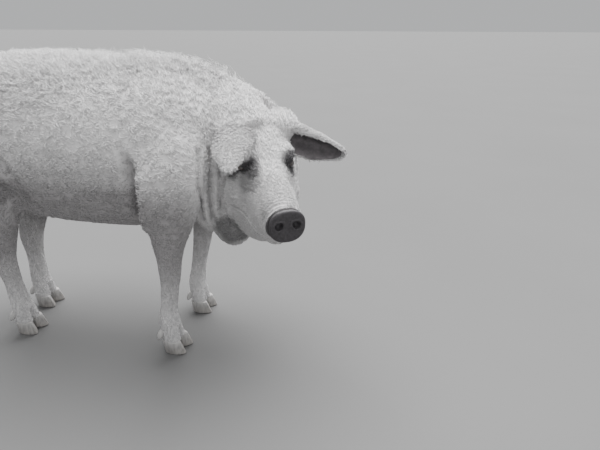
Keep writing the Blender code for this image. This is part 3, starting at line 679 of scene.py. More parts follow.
def path_distance(points, path):
    """The distance of each point from a path of short straight runs."""
    best = np.full(len(points), 9.0)
    for a, b in zip(path, path[1:]):
        a, b = np.array(a), np.array(b)
        run = b - a
        t = np.clip(((points - a) @ run) / (run @ run), 0, 1)
        best = np.minimum(best, np.linalg.norm(points - (a + t[:, None] * run), axis=1))
    return best


def refine(mesh, wanted):
    """Splits the faces that wanted(middles) picks, each edge in two, and smooths them a little."""
    bm = bmesh.new()
    bm.from_mesh(mesh)
    bm.faces.ensure_lookup_table()
    middles = np.array([f.calc_center_median() for f in bm.faces])
    picked = np.flatnonzero(wanted(middles))
    edges = {e for i in picked for e in bm.faces[i].edges}
    out = bmesh.ops.subdivide_edges(bm, edges=list(edges), cuts=1, use_grid_fill=True)
    fresh = [g for g in out["geom_inner"] if isinstance(g, bmesh.types.BMVert)]
    bmesh.ops.smooth_vert(bm, verts=fresh, factor=0.5, use_axis_x=True, use_axis_y=True, use_axis_z=True)
    bm.to_mesh(mesh)
    bm.free()
    return mesh


def lidded(points, centre, look):
    """Moves the skin round one eye: lids that lie over the ball, open in an almond."""
    look, ahead = np.array(look), np.array(AHEAD)
    along = ahead - look * (ahead @ look)
    along /= np.linalg.norm(along)
    rise = np.cross(look, along)
    rise *= np.sign(rise @ np.array(UP))
    offset = points - np.array(centre)
    picked = (np.hypot(offset @ along, offset @ rise) < LID_REACH) & (offset @ look > -0.012)
    u, v, w = (offset[picked] @ axis for axis in (along, rise, look))
    near = np.hypot(u, v)
    over = EYE_RADIUS + LID_OVER
    dome = np.sqrt(np.maximum(over**2 - near**2, 0.0))
    on_ball = ramp(near, 0.0165, 0.0115)
    lid = np.maximum(w, dome * on_ball + w * (1 - on_ball))
    slant = v + 0.10 * u
    top = LID_HEIGHT * np.where(slant > 0, 1.05, 0.85)
    almond = np.hypot(u / LID_LENGTH, slant / top)
    rim = 0.0016 * bell(almond, 0.16, 1.22) * ramp(near, 0.024, 0.014)
    fold = -0.0022 * bell(almond, 0.22, 2.05) * np.where(slant > 0, 1.0, 0.5)
    crease = -0.0014 * bell(almond, 0.20, 2.9) * np.where(slant > 0, 1.0, 0.3)
    raised = lid + rim + fold * ramp(near, 0.030, 0.020) + crease * ramp(near, 0.030, 0.022)
    inside = ramp(almond, 1.10, 0.92)
    sunk = np.sqrt(np.maximum((EYE_RADIUS - 0.0016) ** 2 - near**2, 0.0)) - 0.001
    new = raised * (1 - inside) + np.minimum(sunk, raised) * inside
    points[picked] += np.outer(new - w, look)
    return points


def mirrored(path):
    """A path on the other side of the head."""
    out = []
    for place in path:
        offset = Vector(place) - HEAD_BASE
        out.append(head_point(offset.dot(AHEAD), -offset.dot(LEFT), offset.dot(UP)))
    return out


def fold_line(points, path):
    """Where a fold runs along the body at each point's height."""
    return np.interp(points[:, 2], [p[2] for p in path[::-1]], [p[0] for p in path[::-1]])


def fading(points, top, full):
    """The share of a fold's depth by height: less towards its upper and lower ends."""
    return ramp(points[:, 2], top, full) * ramp(points[:, 2], *LOW_FADE)


def laid_on(tree, path):
    """A path's points moved to the nearest places on the skin, with points between them."""
    steps = through([tuple(p) for p in path], 3)
    return [tuple(tree.find_nearest(Vector(p))[0]) for p in steps]


def neck_lines(tree):
    """The folds behind the jowl, deep on the side the head turns to and shallow on the other."""
    lines = []
    for path, depth in NECK_FOLDS:
        lines.append((laid_on(tree, path), depth, 1.0))
        lines.append((laid_on(tree, mirrored(path)), depth, 0.35))
    return lines


# The neck's folds as they lie on the fused skin, filled by body_skin: path, depth and share
NECK_LINES = []


def fold_moves(points):
    """How far the folds of the neck, elbows and flanks move the skin out or in."""
    move = np.zeros(len(points))
    for way, depth, share in NECK_LINES:
        near = path_distance(points, way)
        depth = depth * share * fading(points, *NECK_FADE)
        move += depth * furrow(near, NECK_FURROW)
    for side in (-1, 1):
        for path, depth, bulge in BODY_FOLDS:
            near = path_distance(points, [(x, side * y, z) for x, y, z in path])
            depth = depth * fading(points, *BODY_FADE)
            bulging = (points[:, 0] - fold_line(points, path)) * bulge > 0
            move += depth * furrow(near, BODY_FURROW, bulging)
        for (x, y, z), broad, depth in DENTS:
            move -= depth * bell(away(points, (x, side * y, z)), broad)
    return move


def wrinkle_moves(points):
    """Wrinkles on top of the snout and at its sides, and soft ones below the eyes."""
    along, aside, height = head_place(points)
    snout = ramp(along, 0.225, 0.245) * ramp(along, 0.292, 0.284) * ramp(height, -0.04, 0.0)
    rows = along + 0.10 * np.abs(aside) + 0.04 * height
    cheek = ramp(along, 0.10, 0.13) * ramp(along, 0.21, 0.18) * ramp(np.abs(aside), 0.03, 0.05)
    move = snout * wave(rows, SNOUT_WRINKLES) + cheek * wave(height - 0.5 * along, CHEEK_WRINKLES)
    return in_head(points) * move


def cloven(points):
    """The points with the gap between the two toes of each foot, in front and behind."""
    for leg in LEG_PLACES:
        x, y = foot_place(leg)
        inner = np.abs(points[:, 1] - y)
        ahead = points[:, 0] - x
        cleft = bell(inner, CLEFT_BREADTH) * ramp(points[:, 2], CLEFT_TOP, CLEFT_FULL)
        cleft *= ramp(np.abs(ahead), 0.002, 0.012) * (np.abs(ahead) < 0.05) * (inner < 0.02)
        points[:, 0] -= np.sign(ahead) * cleft * CLEFT_DEPTH
    return points


def behind_disc(points):
    """The points, with none of the head's in front of the snout disc's back."""
    front, seat, _ = disc_axes()
    over = np.maximum((points - np.array(seat)) @ np.array(front) + 0.0006, 0.0) * (in_head(points) > 0.5)
    return points - np.outer(over, np.array(front))


def detailed(points, normals, mouth):
    """The skin's points with its folds, wrinkles, mouth, cloven feet and lids."""
    move = 0.0005 * waves(points, 90.0, 3) + fold_moves(points) + wrinkle_moves(points)
    points = points + normals * move[:, None]
    lips = MOUTH_DEPTH * furrow(path_distance(points, mouth), MOUTH_FURROW)
    points = cloven(points + normals * lips[:, None])
    for centre, look in EYES.values():
        points = lidded(points, centre, look)
    return behind_disc(points)


def snout_aside(points):
    """The snout's end stands a little to the pig's left, as its head does in the photo."""
    share = ramp(head_place(points)[0], 0.10, 0.29) * (in_head(points) > 0.5)
    return points + np.outer(SNOUT_ASIDE * share, np.array(LEFT))


def softened(mesh):
    """Smooths the skin over the tops of the shoulders and thighs, where the legs' forms end."""
    points = points_of(mesh)
    ends = np.empty(len(mesh.edges) * 2, np.int32)
    mesh.edges.foreach_get("vertices", ends)
    share = np.zeros(len(points))
    for place, radii in SOFT_PLACES:
        share = np.maximum(share, 0.6 * ramp(away(on_left(points), place, radii), 1.0, 0.5))
    beside = np.bincount(ends, minlength=len(points))
    one = np.concatenate([ends[0::2], ends[1::2]])
    other = np.concatenate([ends[1::2], ends[0::2]])
    for _ in range(SOFT_ROUNDS):
        middle = [np.bincount(one, points[other, k], len(points)) / beside for k in range(3)]
        points = points + share[:, None] * (np.column_stack(middle) - points)
    return moved(mesh, points)


def body_skin():
    """The whole body's skin, and the mouth's line on it."""
    mesh = softened(fused(body_forms()))
    mouth = mouth_path(tree_of(mesh))
    NECK_LINES.extend(neck_lines(tree_of(mesh)))
    mesh = refine(mesh, lambda p: (in_head(p) > 0.25) & (head_place(p)[0] > 0.03))

    def finest(p):
        close = (path_distance(p, mouth) < 0.012) | ((head_place(p)[0] > 0.225) & (in_head(p) > 0.5))
        for centre, _ in EYES.values():
            close |= away(p, centre) < 0.033
        return close

    mesh = refine(mesh, finest)
    points = snout_aside(detailed(points_of(mesh), normals_of(mesh), mouth))
    return moved(mesh, points), [tuple(p) for p in snout_aside(np.array(mouth))]


# Ears, tail, snout disc, eyes and hooves
def ear_frame(place, way, cup):
    """An ear's root, its way, the way its hollow faces, and the way across it."""
    turn = Matrix((AHEAD, LEFT, UP)).transposed()
    way = (turn @ Vector(way)).normalized()
    cup = turn @ Vector(cup)
    cup = (cup - way * cup.dot(way)).normalized()
    return head_point(*place) - way * EAR_SUNK, way, cup, way.cross(cup).normalized()


def ear_section(half_width, roll, over):
    """Places and facings across an ear: an arc, whose first margin may roll over on itself."""
    share = np.linspace(-1, 1, EAR_COLUMNS)
    angle = math.radians(roll) * share
    rolled = np.clip((-share - MARGIN_START) / (1 - MARGIN_START), 0, 1)
    angle -= math.radians(over * MARGIN_ROLL) * rolled**1.2
    step = half_width * (1 + MARGIN_BREADTH * over) * (share[1] - share[0])
    run = np.cumsum(np.column_stack([np.cos(angle), np.sin(angle)]), axis=0) * step
    run -= run[EAR_COLUMNS // 2]
    return share, run, np.column_stack([-np.sin(angle), np.cos(angle)])


def ear_faces(bm, sheets):
    """The faces of an ear's two sides and of its rim; its hollow side has material 1."""
    low, high = sheets
    last, edge = len(low) - 1, EAR_COLUMNS - 1
    for layer, rows in enumerate(sheets):
        for row, after in zip(rows, rows[1:]):
            for i in range(edge):
                bm.faces.new((row[i], row[i + 1], after[i + 1], after[i])).material_index = layer
    for k in range(last):
        for i in (0, edge):
            bm.faces.new((low[k][i], low[k + 1][i], high[k + 1][i], high[k][i]))
    for k in (0, last):
        for i in range(edge):
            bm.faces.new((low[k][i], low[k][i + 1], high[k][i + 1], high[k][i]))


def ear_mesh(name, place, way, cup, droop, length, over):
    """A leaf with a cup at its root, thin at the rim."""
    root, way, cup, across = ear_frame(place, way, cup)
    bm = bmesh.new()
    sheets = []
    for layer in (-1, 1):
        rows = []
        for t, half_width, roll in through(EAR, 7):
            middle = root + way * (length + EAR_SUNK) * t + cup * droop * length * t * t * 0.5
            row = []
            for s, place, facing in zip(*ear_section(half_width, roll, over * (1 - 0.2 * t * t))):
                thick = EAR_THICKNESS * 0.5 * (1 - abs(s) ** 6) * min(1.0, (1 - t) * 9)
                ripple = 0.0011 * math.sin(s * 11 + t * 3) * (1 - t) * (layer > 0)
                edge = 0.0016 * math.sin(t * 21 + s * 4) * abs(s) ** 3
                face = across * facing[0] + cup * facing[1]
                spot = middle + across * place[0] + cup * place[1]
                row.append(bm.verts.new(spot + face * (layer * thick + ripple + edge)))
            rows.append(row)
        sheets.append(rows)
    ear_faces(bm, sheets)
    bmesh.ops.remove_doubles(bm, verts=bm.verts, dist=0.00002)
    return mesh_of(name, bm)


def tail_mesh():
    table = through(TAIL, 5)
    return taken(tube("tail_form", table[:, :3], table[:, 3]))


def disc_axes():
    """The way the snout disc faces, the middle of its back, and its own up."""
    turn = Matrix.Rotation(-DISC_TILT, 3, LEFT)
    front = turn @ AHEAD
    return front, SNOUT - AHEAD * (HEAD_LENGTH - DISC_SEAT) + front * 0.0003, turn @ UP


def disc_relief(u, v):
    """How far the disc's face stands out at one place: its nostrils, their rims, and a groove."""
    aside, height, side_r, up_r, deep = NOSTRIL
    out = -0.0012 * bell(u, 0.006) * (v < 0.012)
    for side in (-1, 1):
        du = (u - side * aside) / side_r
        dv = (v - height - 0.18 * abs(u - side * aside)) / (up_r * 0.92)
        reach = math.hypot(du + side * 0.12 * dv, dv)
        if reach < 1.0:
            out -= deep * 0.8 * (1 - reach**3) ** 0.7
        elif reach < 1.6:
            out += 0.0010 * math.sin((reach - 1.0) / 0.6 * math.pi)
    return out


def disc_mesh():
    """The snout disc: a rounded drum with two deep nostrils and a fine, pitted face."""
    front, seat, disc_up = disc_axes()
    half_width, half_height = DISC_WIDTH / 2, DISC_HEIGHT / 2
    face = [(1.0 + 0.05 * (1 - share), share) for share in np.linspace(0.84, 0.02, 34)]
    power = 2.0 / 2.3
    rows = []
    for depth, share in (*DISC_EDGE, *face):
        row = []
        for c, s in circle(DISC_COLUMNS):
            u = half_width * share * rounded(c, power)
            v = half_height * (0.94 if s > 0 else 1.04) * share * rounded(s, power)
            w = DISC_THICKNESS * depth
            if depth >= 1.0:
                w += disc_relief(u, v)
            row.append(seat + front * w + LEFT * (u + DISC_ASIDE + SNOUT_ASIDE) + disc_up * v)
        rows.append(row)
    return taken(loft("disc_form", rows))


def eye_mesh(centre, look):
    """The eyeball, with a clear bulge at its front; its own axis is local Z."""
    bm = bmesh.new()
    bmesh.ops.create_uvsphere(bm, u_segments=48, v_segments=32, radius=EYE_RADIUS)
    across = np.array([math.hypot(v.co.x, v.co.y) if v.co.z > 0 else 1.0 for v in bm.verts])
    for vert, reach in zip(bm.verts, across):
        vert.co.z += LENS_RISE * max(0.0, 1 - (reach / LENS_RADIUS) ** 2)
    bm.transform(Matrix.Translation(centre) @ look.to_track_quat("Z", "Y").to_matrix().to_4x4())
    mesh = mesh_of("eye", bm)
    iris, pupil = ramp(across, *IRIS_EDGE), ramp(across, *PUPIL_EDGE)
    mark(mesh, np.column_stack([iris, pupil, iris, np.ones(len(across))]))
    return mesh


def toe(x, y, side):
    """One hoof: pointed in front and leaning out there, with growth rings across its wall."""
    rings = []
    for height, forward, half_length, half_width in through(TOE_RINGS, 7):
        ridge = 1 + wave(height, GROWTH_RINGS) * min(1.0, height / 0.006)
        points = []
        for c, s in circle(TOE_COLUMNS):
            front = max(0.0, c)
            ahead = half_length * ridge * rounded(c, 0.9) + 0.002 * front
            aside = half_width * ridge * (1 - 0.50 * front**2.2) * rounded(s, 0.85)
            across = side * (TOE_ASIDE + 0.0045 * front**2 - 0.0010) + aside
            points.append(Vector((x + forward + ahead, y + across, height)))
        rings.append(points)
    return loft("toe", rings)


def dewclaw(x, y, side):
    rings = []
    for t, share in through(DEWCLAW_TAPER, 4):
        centre = (
            x - DEWCLAW_BACK - 0.45 * DEWCLAW_LENGTH * t,
            y + side * (DEWCLAW_ASIDE + 0.2 * DEWCLAW_LENGTH * t),
            DEWCLAW_HEIGHT - DEWCLAW_LENGTH * t,
        )
        radius = DEWCLAW_RADIUS * share * (1 + 0.02 * math.sin(t * 30))
        rings.append(ring(centre, (0.92, 0, -0.38), (0, 1, 0), radius, radius, radius, count=24))
    return loft("dewclaw", rings)


# The coat
def lies(points, normals):
    """The way the coat lies: away from the snout on the head and neck, then back and down."""
    way = np.zeros_like(points)
    way[:, 0] = -1.0
    way[:, 2] = -0.75 * ramp(np.abs(normals[:, 1]), 0.2, 0.9)
    leg = ramp(points[:, 2], 0.44, 0.30)[:, None]
    way = way * (1 - leg) + np.array((-0.25, 0, -1.0)) * leg
    from_snout = unit(points - np.array(head_point(0.27, 0.0, 0.02)))
    face = np.maximum(in_head(points), ramp(points[:, 2], 0.34, 0.42))
    face = (face * ramp(head_place(points)[0], -0.20, 0.02))[:, None]
    return unit(along_skin(way * (1 - face) + from_snout * face, normals))


def dark_and_shade_share(points, mouth):
    """How dark each point is: the head's patches, dark skin and painted shade, and painted shade along the
    folds and the mouth and in the hollows.
    """
    head = in_head(points)
    in_axes = np.column_stack(head_place(points))
    uneven = 0.22 * waves(points, 120.0, 21)
    dark = np.zeros(len(points))
    for place, radii, strength in PATCHES:
        dark = np.maximum(dark, strength * ramp(away(in_axes, place, radii) + uneven, 1.25, 0.60))
    dark *= ramp(head, 0.05, 0.4)
    # Painted shade along the neck's folds
    for way, _, share in NECK_LINES:
        share = 0.16 * share * fading(points, *NECK_FADE)
        dark = np.maximum(dark, share * ramp(path_distance(points, way), 0.0105, 0.002))
    # Painted shade along the mouth's groove
    dark = np.maximum(dark, 0.40 * ramp(path_distance(points, mouth), 0.006, 0.001) * head)
    side = on_left(points)
    # Painted shade along the folds of the elbows and flanks
    for path, _, _ in BODY_FOLDS:
        share = 0.26 * fading(points, *BODY_FADE)
        dark = np.maximum(dark, share * ramp(path_distance(side, path), 0.022, 0.003))
    # Painted shade in the hollows in front of the thighs
    for place, broad, _ in DENTS:
        dark = np.maximum(dark, 0.35 * ramp(away(side, place), broad, 0.4 * broad))
    return dark


def grey_and_shade_share(points, normals):
    """How grey each point is: the belly and low sides, partly their own grey and partly painted shade, and
    painted shade on faces turned down and on the legs' inner sides.
    """
    shin = ramp(points[:, 2], 0.04, 0.38)
    # Greyer low down: partly the pig's own colour, partly painted shade from light falling from above
    below = ramp(points[:, 2], 0.62, 0.38) * shin
    # Painted shade on the faces that turn down
    downward_shade = ramp(normals[:, 2], 0.1, -0.7) * shin
    grey = np.clip(0.95 * below + 0.6 * downward_shade + 0.18 * waves(points, 30.0, 22), 0, 1)
    grey *= 1 - 0.55 * in_head(points)
    # Painted light: less grey near the neck's folds, where the head shades the skin
    grey *= 1 - 0.5 * ramp(fold_distance(points, with_body=False), 0.05, 0.02)
    # Painted shade on the inner sides of the legs, turned away from the light
    inner = ramp(-normals[:, 1] * np.sign(points[:, 1]), -0.1, 0.6) * ramp(points[:, 2], 0.10, 0.22)
    leg = ramp(points[:, 2], 0.44, 0.36)
    return np.maximum(grey, leg * (0.14 + 0.50 * inner + 0.10 * waves(points, 45.0, 24)))


def markings(points, normals, mouth):
    """Four shares at each point: dark and grey, both partly painted shade, a fine unevenness, and a painted
    root shade of 1, which darkens nothing.
    """
    fine = 0.5 + 0.25 * waves(points, 260.0, 23)
    dark, grey = dark_and_shade_share(points, mouth), grey_and_shade_share(points, normals)
    return np.column_stack([dark, grey, fine, np.ones(len(points))])


def plain_marks(count, grey):
    """Markings for tufts that have one grey all over and a random unevenness."""
    marks = np.tile((0.0, grey, 0.5, 1.0), (count, 1))
    marks[:, 2] = rng.uniform(size=count)
    return marks


def mark(mesh, values):
    """Keeps the markings on a mesh, where the materials read them."""
    layer = mesh.color_attributes.new("Marking", "FLOAT_COLOR", "POINT")
    layer.data.foreach_set("color", values.astype(np.float32).ravel())


def scattered(mesh, count, density, hollow=1.0):
    """Random roots on a mesh, drawn by density; hollow is the share kept on material 1."""
    mesh.calc_loop_triangles()
    tris = np.empty(len(mesh.loop_triangles) * 3, np.int32)
    mesh.loop_triangles.foreach_get("vertices", tris)
    tris = tris.reshape(-1, 3)
    points, normals = points_of(mesh), normals_of(mesh)
    a, b, c = points[tris[:, 0]], points[tris[:, 1]], points[tris[:, 2]]
    area = np.linalg.norm(np.cross(b - a, c - a), axis=1) / 2
    weight = area * density((a + b + c) / 3)
    inner = np.array([mesh.polygons[t.polygon_index].material_index for t in mesh.loop_triangles])
    weight = weight * np.where(inner == 1, hollow, 1.0)
    drawn = rng.choice(len(tris), size=count, p=weight / weight.sum())
    u, v = rng.uniform(size=count), rng.uniform(size=count)
    flip = u + v > 1
    u[flip], v[flip] = 1 - u[flip], 1 - v[flip]
    corners = tris[drawn].T

    def between(values):
        return sum(values[corner] * share[:, None] for corner, share in zip(corners, (u, v, 1 - u - v)))

    return between(points), unit(between(normals))


def unwrap(points):
    """The skin laid flat: the body by its length and girth, the head and each leg beside it."""
    x, y, z = points.T
    turn = np.arctan2(y + 0.02 * (x < 0), z - 0.53) / (2 * math.pi) + 0.5
    uv = np.column_stack([0.02 + 0.56 * (x + 0.52) / 1.0, 0.02 + 0.95 * turn])
    along, aside, height = head_place(points)
    head = in_head(points) > 0.5
    turn = np.arctan2(aside, height + 0.03) / (2 * math.pi) + 0.5
    uv[head] = np.column_stack([0.60 + 0.14 * (along + 0.05) / 0.40, 0.02 + 0.45 * turn])[head]
    for i, (_, stations, side, forward, shift) in enumerate(LEG_PLACES):
        leg = np.array(stations)[::-1]
        mid_x = np.interp(z, leg[:, 0], leg[:, 1]) + forward
        mid_y = side * np.interp(z, leg[:, 0], leg[:, 2]) + shift
        mine = (z < 0.34) & (np.hypot(x - mid_x, y - mid_y) < 0.10) & ~head
        turn = np.arctan2(y - mid_y, x - mid_x) / (2 * math.pi) + 0.5
        uv[mine] = np.column_stack([0.76 + 0.055 * i + 0.045 * turn, 0.02 + 1.2 * z])[mine]
    return uv


# A tuft's two rings and its tip: how far along it they are, how far they sway, and how broad they are
STEPS = (0.0, 0.52, 1.0)
SWAY = (0.0, 0.60, -0.24)
BREADTH = (0.80, 1.0)


def clumped(root, clump):
    """How many clumps there are, each root's clump, and the root in that clump's middle."""
    clumps = max(1, len(root) // clump)
    heads = rng.choice(len(root), size=clumps, replace=False)
    tree = KDTree(clumps)
    for i, k in enumerate(heads):
        tree.insert(root[k], i)
    tree.balance()
    mine = np.array([tree.find(place)[1] for place in root])
    return clumps, mine, root[heads][mine]


def tuft_arrays(root, normal, way, length, depth, half, clump, curl=0.5, swing=0.5, gather=0.4):
    """Points of many tufts: two rings of three and a tip each, drawn together in clumps."""
    count = len(root)
    clumps, mine, middle_root = clumped(root, clump)
    angle = swing * (rng.uniform(-1, 1, clumps)[mine] + rng.normal(size=count) * 0.45)
    side = np.cross(normal, way)
    c, s = np.cos(angle)[:, None], np.sin(angle)[:, None]
    way, side = way * c + side * s, side * c - way * s
    lift = rng.uniform(0.45, 1.0, clumps)[mine] * rng.uniform(0.6, 1.1, count)
    bend = rng.uniform(-1, 1, clumps)[mine] * 0.7 + rng.uniform(-0.6, 0.6, count)
    toward = along_skin(middle_root - root, normal)
    length = length * rng.uniform(0.7, 1.2, count)
    rise = (np.full(count, -0.25), 0.85 * lift, lift * rng.uniform(0.55, 1.1, count))
    verts = np.empty((count, 7, 3))
    for k, t in enumerate(STEPS):
        middle = root + way * (length * t)[:, None] + normal * (depth * rise[k])[:, None]
        middle += side * (length * curl * bend * SWAY[k])[:, None] + toward * gather * t
        if k == 2:
            verts[:, 6] = middle
            break
        broad = (half * BREADTH[k])[:, None]
        verts[:, 3 * k] = middle - side * broad
        verts[:, 3 * k + 1] = middle + side * broad
        verts[:, 3 * k + 2] = middle + normal * 0.7 * broad
    return verts


def tuft_faces():
    """The triangles of one tuft: its root, its sides and its tip."""
    faces = [(0, 2, 1)]
    for i in range(3):
        j = (i + 1) % 3
        faces += [(i, j, 3 + j), (i, 3 + j, 3 + i)]
    return np.array(faces + [(3, 4, 6), (4, 5, 6), (5, 3, 6)])


FACES = tuft_faces()
# A tuft's patch on the unwrap: its size, and each of its seven points in it
PATCH = 0.003
PATCH_POINTS = np.array([(0.5 * (i - 1), k) for k in STEPS[:2] for i in (0, 2, 1)] + [(0.0, 1.0)])
# Painted shade on each tuft: darker at its root rings, lighter at its tip
TUFT_SHADES = np.repeat((0.86, 0.98, 1.08), (3, 3, 1))


def coat_object(name, verts, uv_root, marks, material):
    """One piece of the coat, with each tuft a small patch on the unwrapped skin."""
    count, size = verts.shape[:2]
    mesh = bpy.data.meshes.new(name)
    mesh.vertices.add(count * size)
    mesh.vertices.foreach_set("co", (verts.reshape(-1, 3) + np.array(SHIFT)).ravel())
    faces = (FACES[None] + size * np.arange(count)[:, None, None]).reshape(-1, 3)
    mesh.loops.add(len(faces) * 3)
    mesh.loops.foreach_set("vertex_index", faces.ravel().astype(np.int32))
    mesh.polygons.add(len(faces))
    mesh.polygons.foreach_set("loop_start", np.arange(0, len(faces) * 3, 3, dtype=np.int32))
    mesh.update(calc_edges=True)
    flat = (uv_root[:, None, :] + PATCH_POINTS[None] * PATCH).reshape(-1, 2)
    layer = mesh.uv_layers.new(name="OFBake")
    layer.data.foreach_set("uv", flat[faces.ravel()].ravel())
    marks = np.repeat(marks[:, None, :], size, axis=1)
    marks[:, :, 2] = 0.5 * marks[:, :, 2] + 0.5 * rng.uniform(size=len(marks))[:, None]
    # The fourth share holds each tuft's painted shade, darker at the root
    marks[:, :, 3] = TUFT_SHADES[None]
    mark(mesh, marks.reshape(-1, 4))
    mesh.shade_smooth()
    mesh.materials.append(material)
    obj = add_object(name, mesh)
    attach(obj, "root")


# Materials
class Nodes:
    """Short calls for building a material's node tree."""

    def __init__(self, name):
        self.material = bpy.data.materials.new(name)
        self.material.use_nodes = True
        self.tree = self.material.node_tree
        self.shader = self.tree.nodes["Principled BSDF"]

    def node(self, kind, **values):
        node = self.tree.nodes.new(kind)
        for key, value in values.items():
            setattr(node, key, value)
        return node

    def set(self, node, **values):
        for name, value in values.items():
            node.inputs[name.replace("_", " ")].default_value = value

    def link(self, source, target):
        self.tree.links.new(source, target)

    def place(self):
        return self.node("ShaderNodeTexCoord").outputs["Object"]

    def noise(self, scale, detail=4.0, roughness=0.55, place=None):
        node = self.node("ShaderNodeTexNoise")
        self.link(self.place() if place is None else place, node.inputs["Vector"])
        self.set(node, Scale=scale, Detail=detail, Roughness=roughness)
        return node.outputs["Fac"]

    def spread(self, value, low, high, out_low=0.0, out_high=1.0):
        node = self.node("ShaderNodeMapRange")
        self.link(value, node.inputs["Value"])
        self.set(node, From_Min=low, From_Max=high, To_Min=out_low, To_Max=out_high)
        return node.outputs["Result"]

    def times(self, value, other):
        node = self.node("ShaderNodeMath", operation="MULTIPLY")
        self.link(value, node.inputs[0])
        self.link(other, node.inputs[1])
        return node.outputs[0]

    def mix(self, factor, first, second, kind="MIX"):
        node = self.node("ShaderNodeMix", data_type="RGBA", blend_type=kind)
        for socket, value in ((node.inputs[0], factor), (node.inputs[6], first), (node.inputs[7], second)):
            if isinstance(value, (int, float)):
                socket.default_value = value
            elif isinstance(value, tuple):
                socket.default_value = (*value, 1.0)
            else:
                self.link(value, socket)
        return node.outputs[2]

    def height(self):
        node = self.node("ShaderNodeSeparateXYZ")
        self.link(self.place(), node.inputs["Vector"])
        return node.outputs["Z"]

    def bump(self, value, strength, distance):
        node = self.node("ShaderNodeBump")
        self.set(node, Strength=strength, Distance=distance)
        self.link(value, node.inputs["Height"])
        self.link(node.outputs["Normal"], self.shader.inputs["Normal"])

    def paint(self, colour):
        self.link(colour, self.shader.inputs["Base Color"])

    def marks(self):
        """The markings kept on the mesh: the three shares, and the painted shade of the tufts' roots."""
        marks = self.node("ShaderNodeAttribute", attribute_name="Marking")
        split = self.node("ShaderNodeSeparateColor")
        self.link(marks.outputs["Color"], split.inputs["Color"])
        return split.outputs, marks.outputs["Alpha"]


def marked_colour(nodes, pale, low, dark):
    """The pig's colour, from the markings kept on the mesh: pale above, greyer below, dark patches, with
    painted shade among the grey and the dark and at the tufts' roots.
    """
    shares, shade = nodes.marks()
    soft = nodes.spread(nodes.noise(7.0, 5.0), 0.35, 0.65)
    colour = nodes.mix(soft, pale, tuple(0.93 * c for c in pale))
    colour = nodes.mix(shares["Green"], colour, low)
    colour = nodes.mix(shares["Red"], colour, dark)
    # A random grain, times the tufts' painted root shade
    grain_and_root_shade = nodes.times(nodes.spread(shares["Blue"], 0.1, 0.9, 0.80, 1.10), shade)
    grey = nodes.node("ShaderNodeCombineColor")
    for socket in ("Red", "Green", "Blue"):
        nodes.link(grain_and_root_shade, grey.inputs[socket])
    return nodes.mix(1.0, colour, grey.outputs["Color"], "MULTIPLY")


def coat_material():
    nodes = Nodes("coat")
    nodes.paint(marked_colour(nodes, *COAT_COLOURS))
    nodes.set(nodes.shader, Roughness=0.62, Sheen_Weight=0.25, Sheen_Roughness=0.45, Specular_IOR_Level=0.35)
    return nodes.material


def skin_material():
    nodes = Nodes("skin")
    nodes.paint(marked_colour(nodes, *SKIN_COLOURS))
    nodes.set(nodes.shader, Roughness=0.66, Specular_IOR_Level=0.35)
    nodes.bump(nodes.noise(260.0, 5.0, 0.6), 0.5, 0.0016)
    return nodes.material


def dark_skin(name, colour, roughness, scale, distance):
    """Bare dark skin, uneven in colour, with fine pits."""
    nodes = Nodes(name)
    shade = nodes.spread(nodes.noise(scale * 0.3, 4.0), 0.35, 0.65)
    nodes.paint(nodes.mix(shade, colour, tuple(1.7 * c for c in colour)))
    nodes.set(nodes.shader, Roughness=roughness, Specular_IOR_Level=0.45)
    cells = nodes.node("ShaderNodeTexVoronoi")
    nodes.link(nodes.place(), cells.inputs["Vector"])
    nodes.set(cells, Scale=scale)
    nodes.bump(cells.outputs["Distance"], 0.6, distance)
    return nodes.material


def horn_material():
    """Streaked horn, paler towards the leg and dusty at the floor."""
    nodes = Nodes("horn")
    stretch = nodes.node("ShaderNodeMapping")
    nodes.set(stretch, Scale=(1.0, 1.0, 0.18))
    nodes.link(nodes.place(), stretch.inputs["Vector"])
    streak = nodes.noise(210.0, 5.0, 0.5, stretch.outputs["Vector"])
    colour = nodes.mix(nodes.spread(streak, 0.35, 0.65), *HORN)
    colour = nodes.mix(nodes.spread(nodes.height(), 0.014, 0.046, 0.0, 0.75), colour, HORN_TOP)
    low = nodes.spread(nodes.height(), 0.022, 0.002, 0.0, 0.75)
    dusty = nodes.times(low, nodes.spread(nodes.noise(90.0), 0.3, 0.6))
    nodes.paint(nodes.mix(dusty, colour, DUST))
    nodes.set(nodes.shader, Roughness=0.58)
    nodes.bump(streak, 0.5, 0.0008)
    return nodes.material


def eye_material():
    nodes = Nodes("eye")
    shares, _ = nodes.marks()
    colour = nodes.mix(shares["Red"], EYE_WHITE, nodes.mix(nodes.noise(700.0), *IRIS))
    nodes.paint(nodes.mix(shares["Green"], colour, PUPIL))
    nodes.set(nodes.shader, Roughness=0.06, Coat_Weight=1.0, Coat_Roughness=0.03, Specular_IOR_Level=0.6)
    return nodes.material


def floor_material():
    nodes = Nodes("floor")
    nodes.paint(nodes.mix(nodes.spread(nodes.noise(1.5, 3.0), 0.3, 0.7), *FLOOR))
    nodes.set(nodes.shader, Roughness=0.85)
    return nodes.material


# Pieces
def piece(name, mesh, materials, slot, *nodes):
    """One piece that isn't the coat, in the frame's place, instead of the nodes named."""
    mesh.transform(Matrix.Translation(SHIFT))
    mesh.shade_smooth()
    if "Marking" not in mesh.color_attributes:
        mark(mesh, np.tile((0.0, 0.15, 0.5, 1.0), (len(mesh.vertices), 1)))
    for material in materials:
        mesh.materials.append(material)
    obj = add_object(name, mesh)
    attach(obj, "root")
    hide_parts(*nodes)


def bare_share(points, mouth):
    """0 where no tuft grows: on the eyes, the lips, the snout's end and inside the hooves."""
    keep = ramp(path_distance(points, mouth), 0.003, 0.007)
    for centre, _ in EYES.values():
        keep = keep * ramp(away(points, centre), *EYE_BARE)
    return keep * ramp(head_place(points)[0], 0.285, 0.270) * (points[:, 2] > HOOF_TOP)


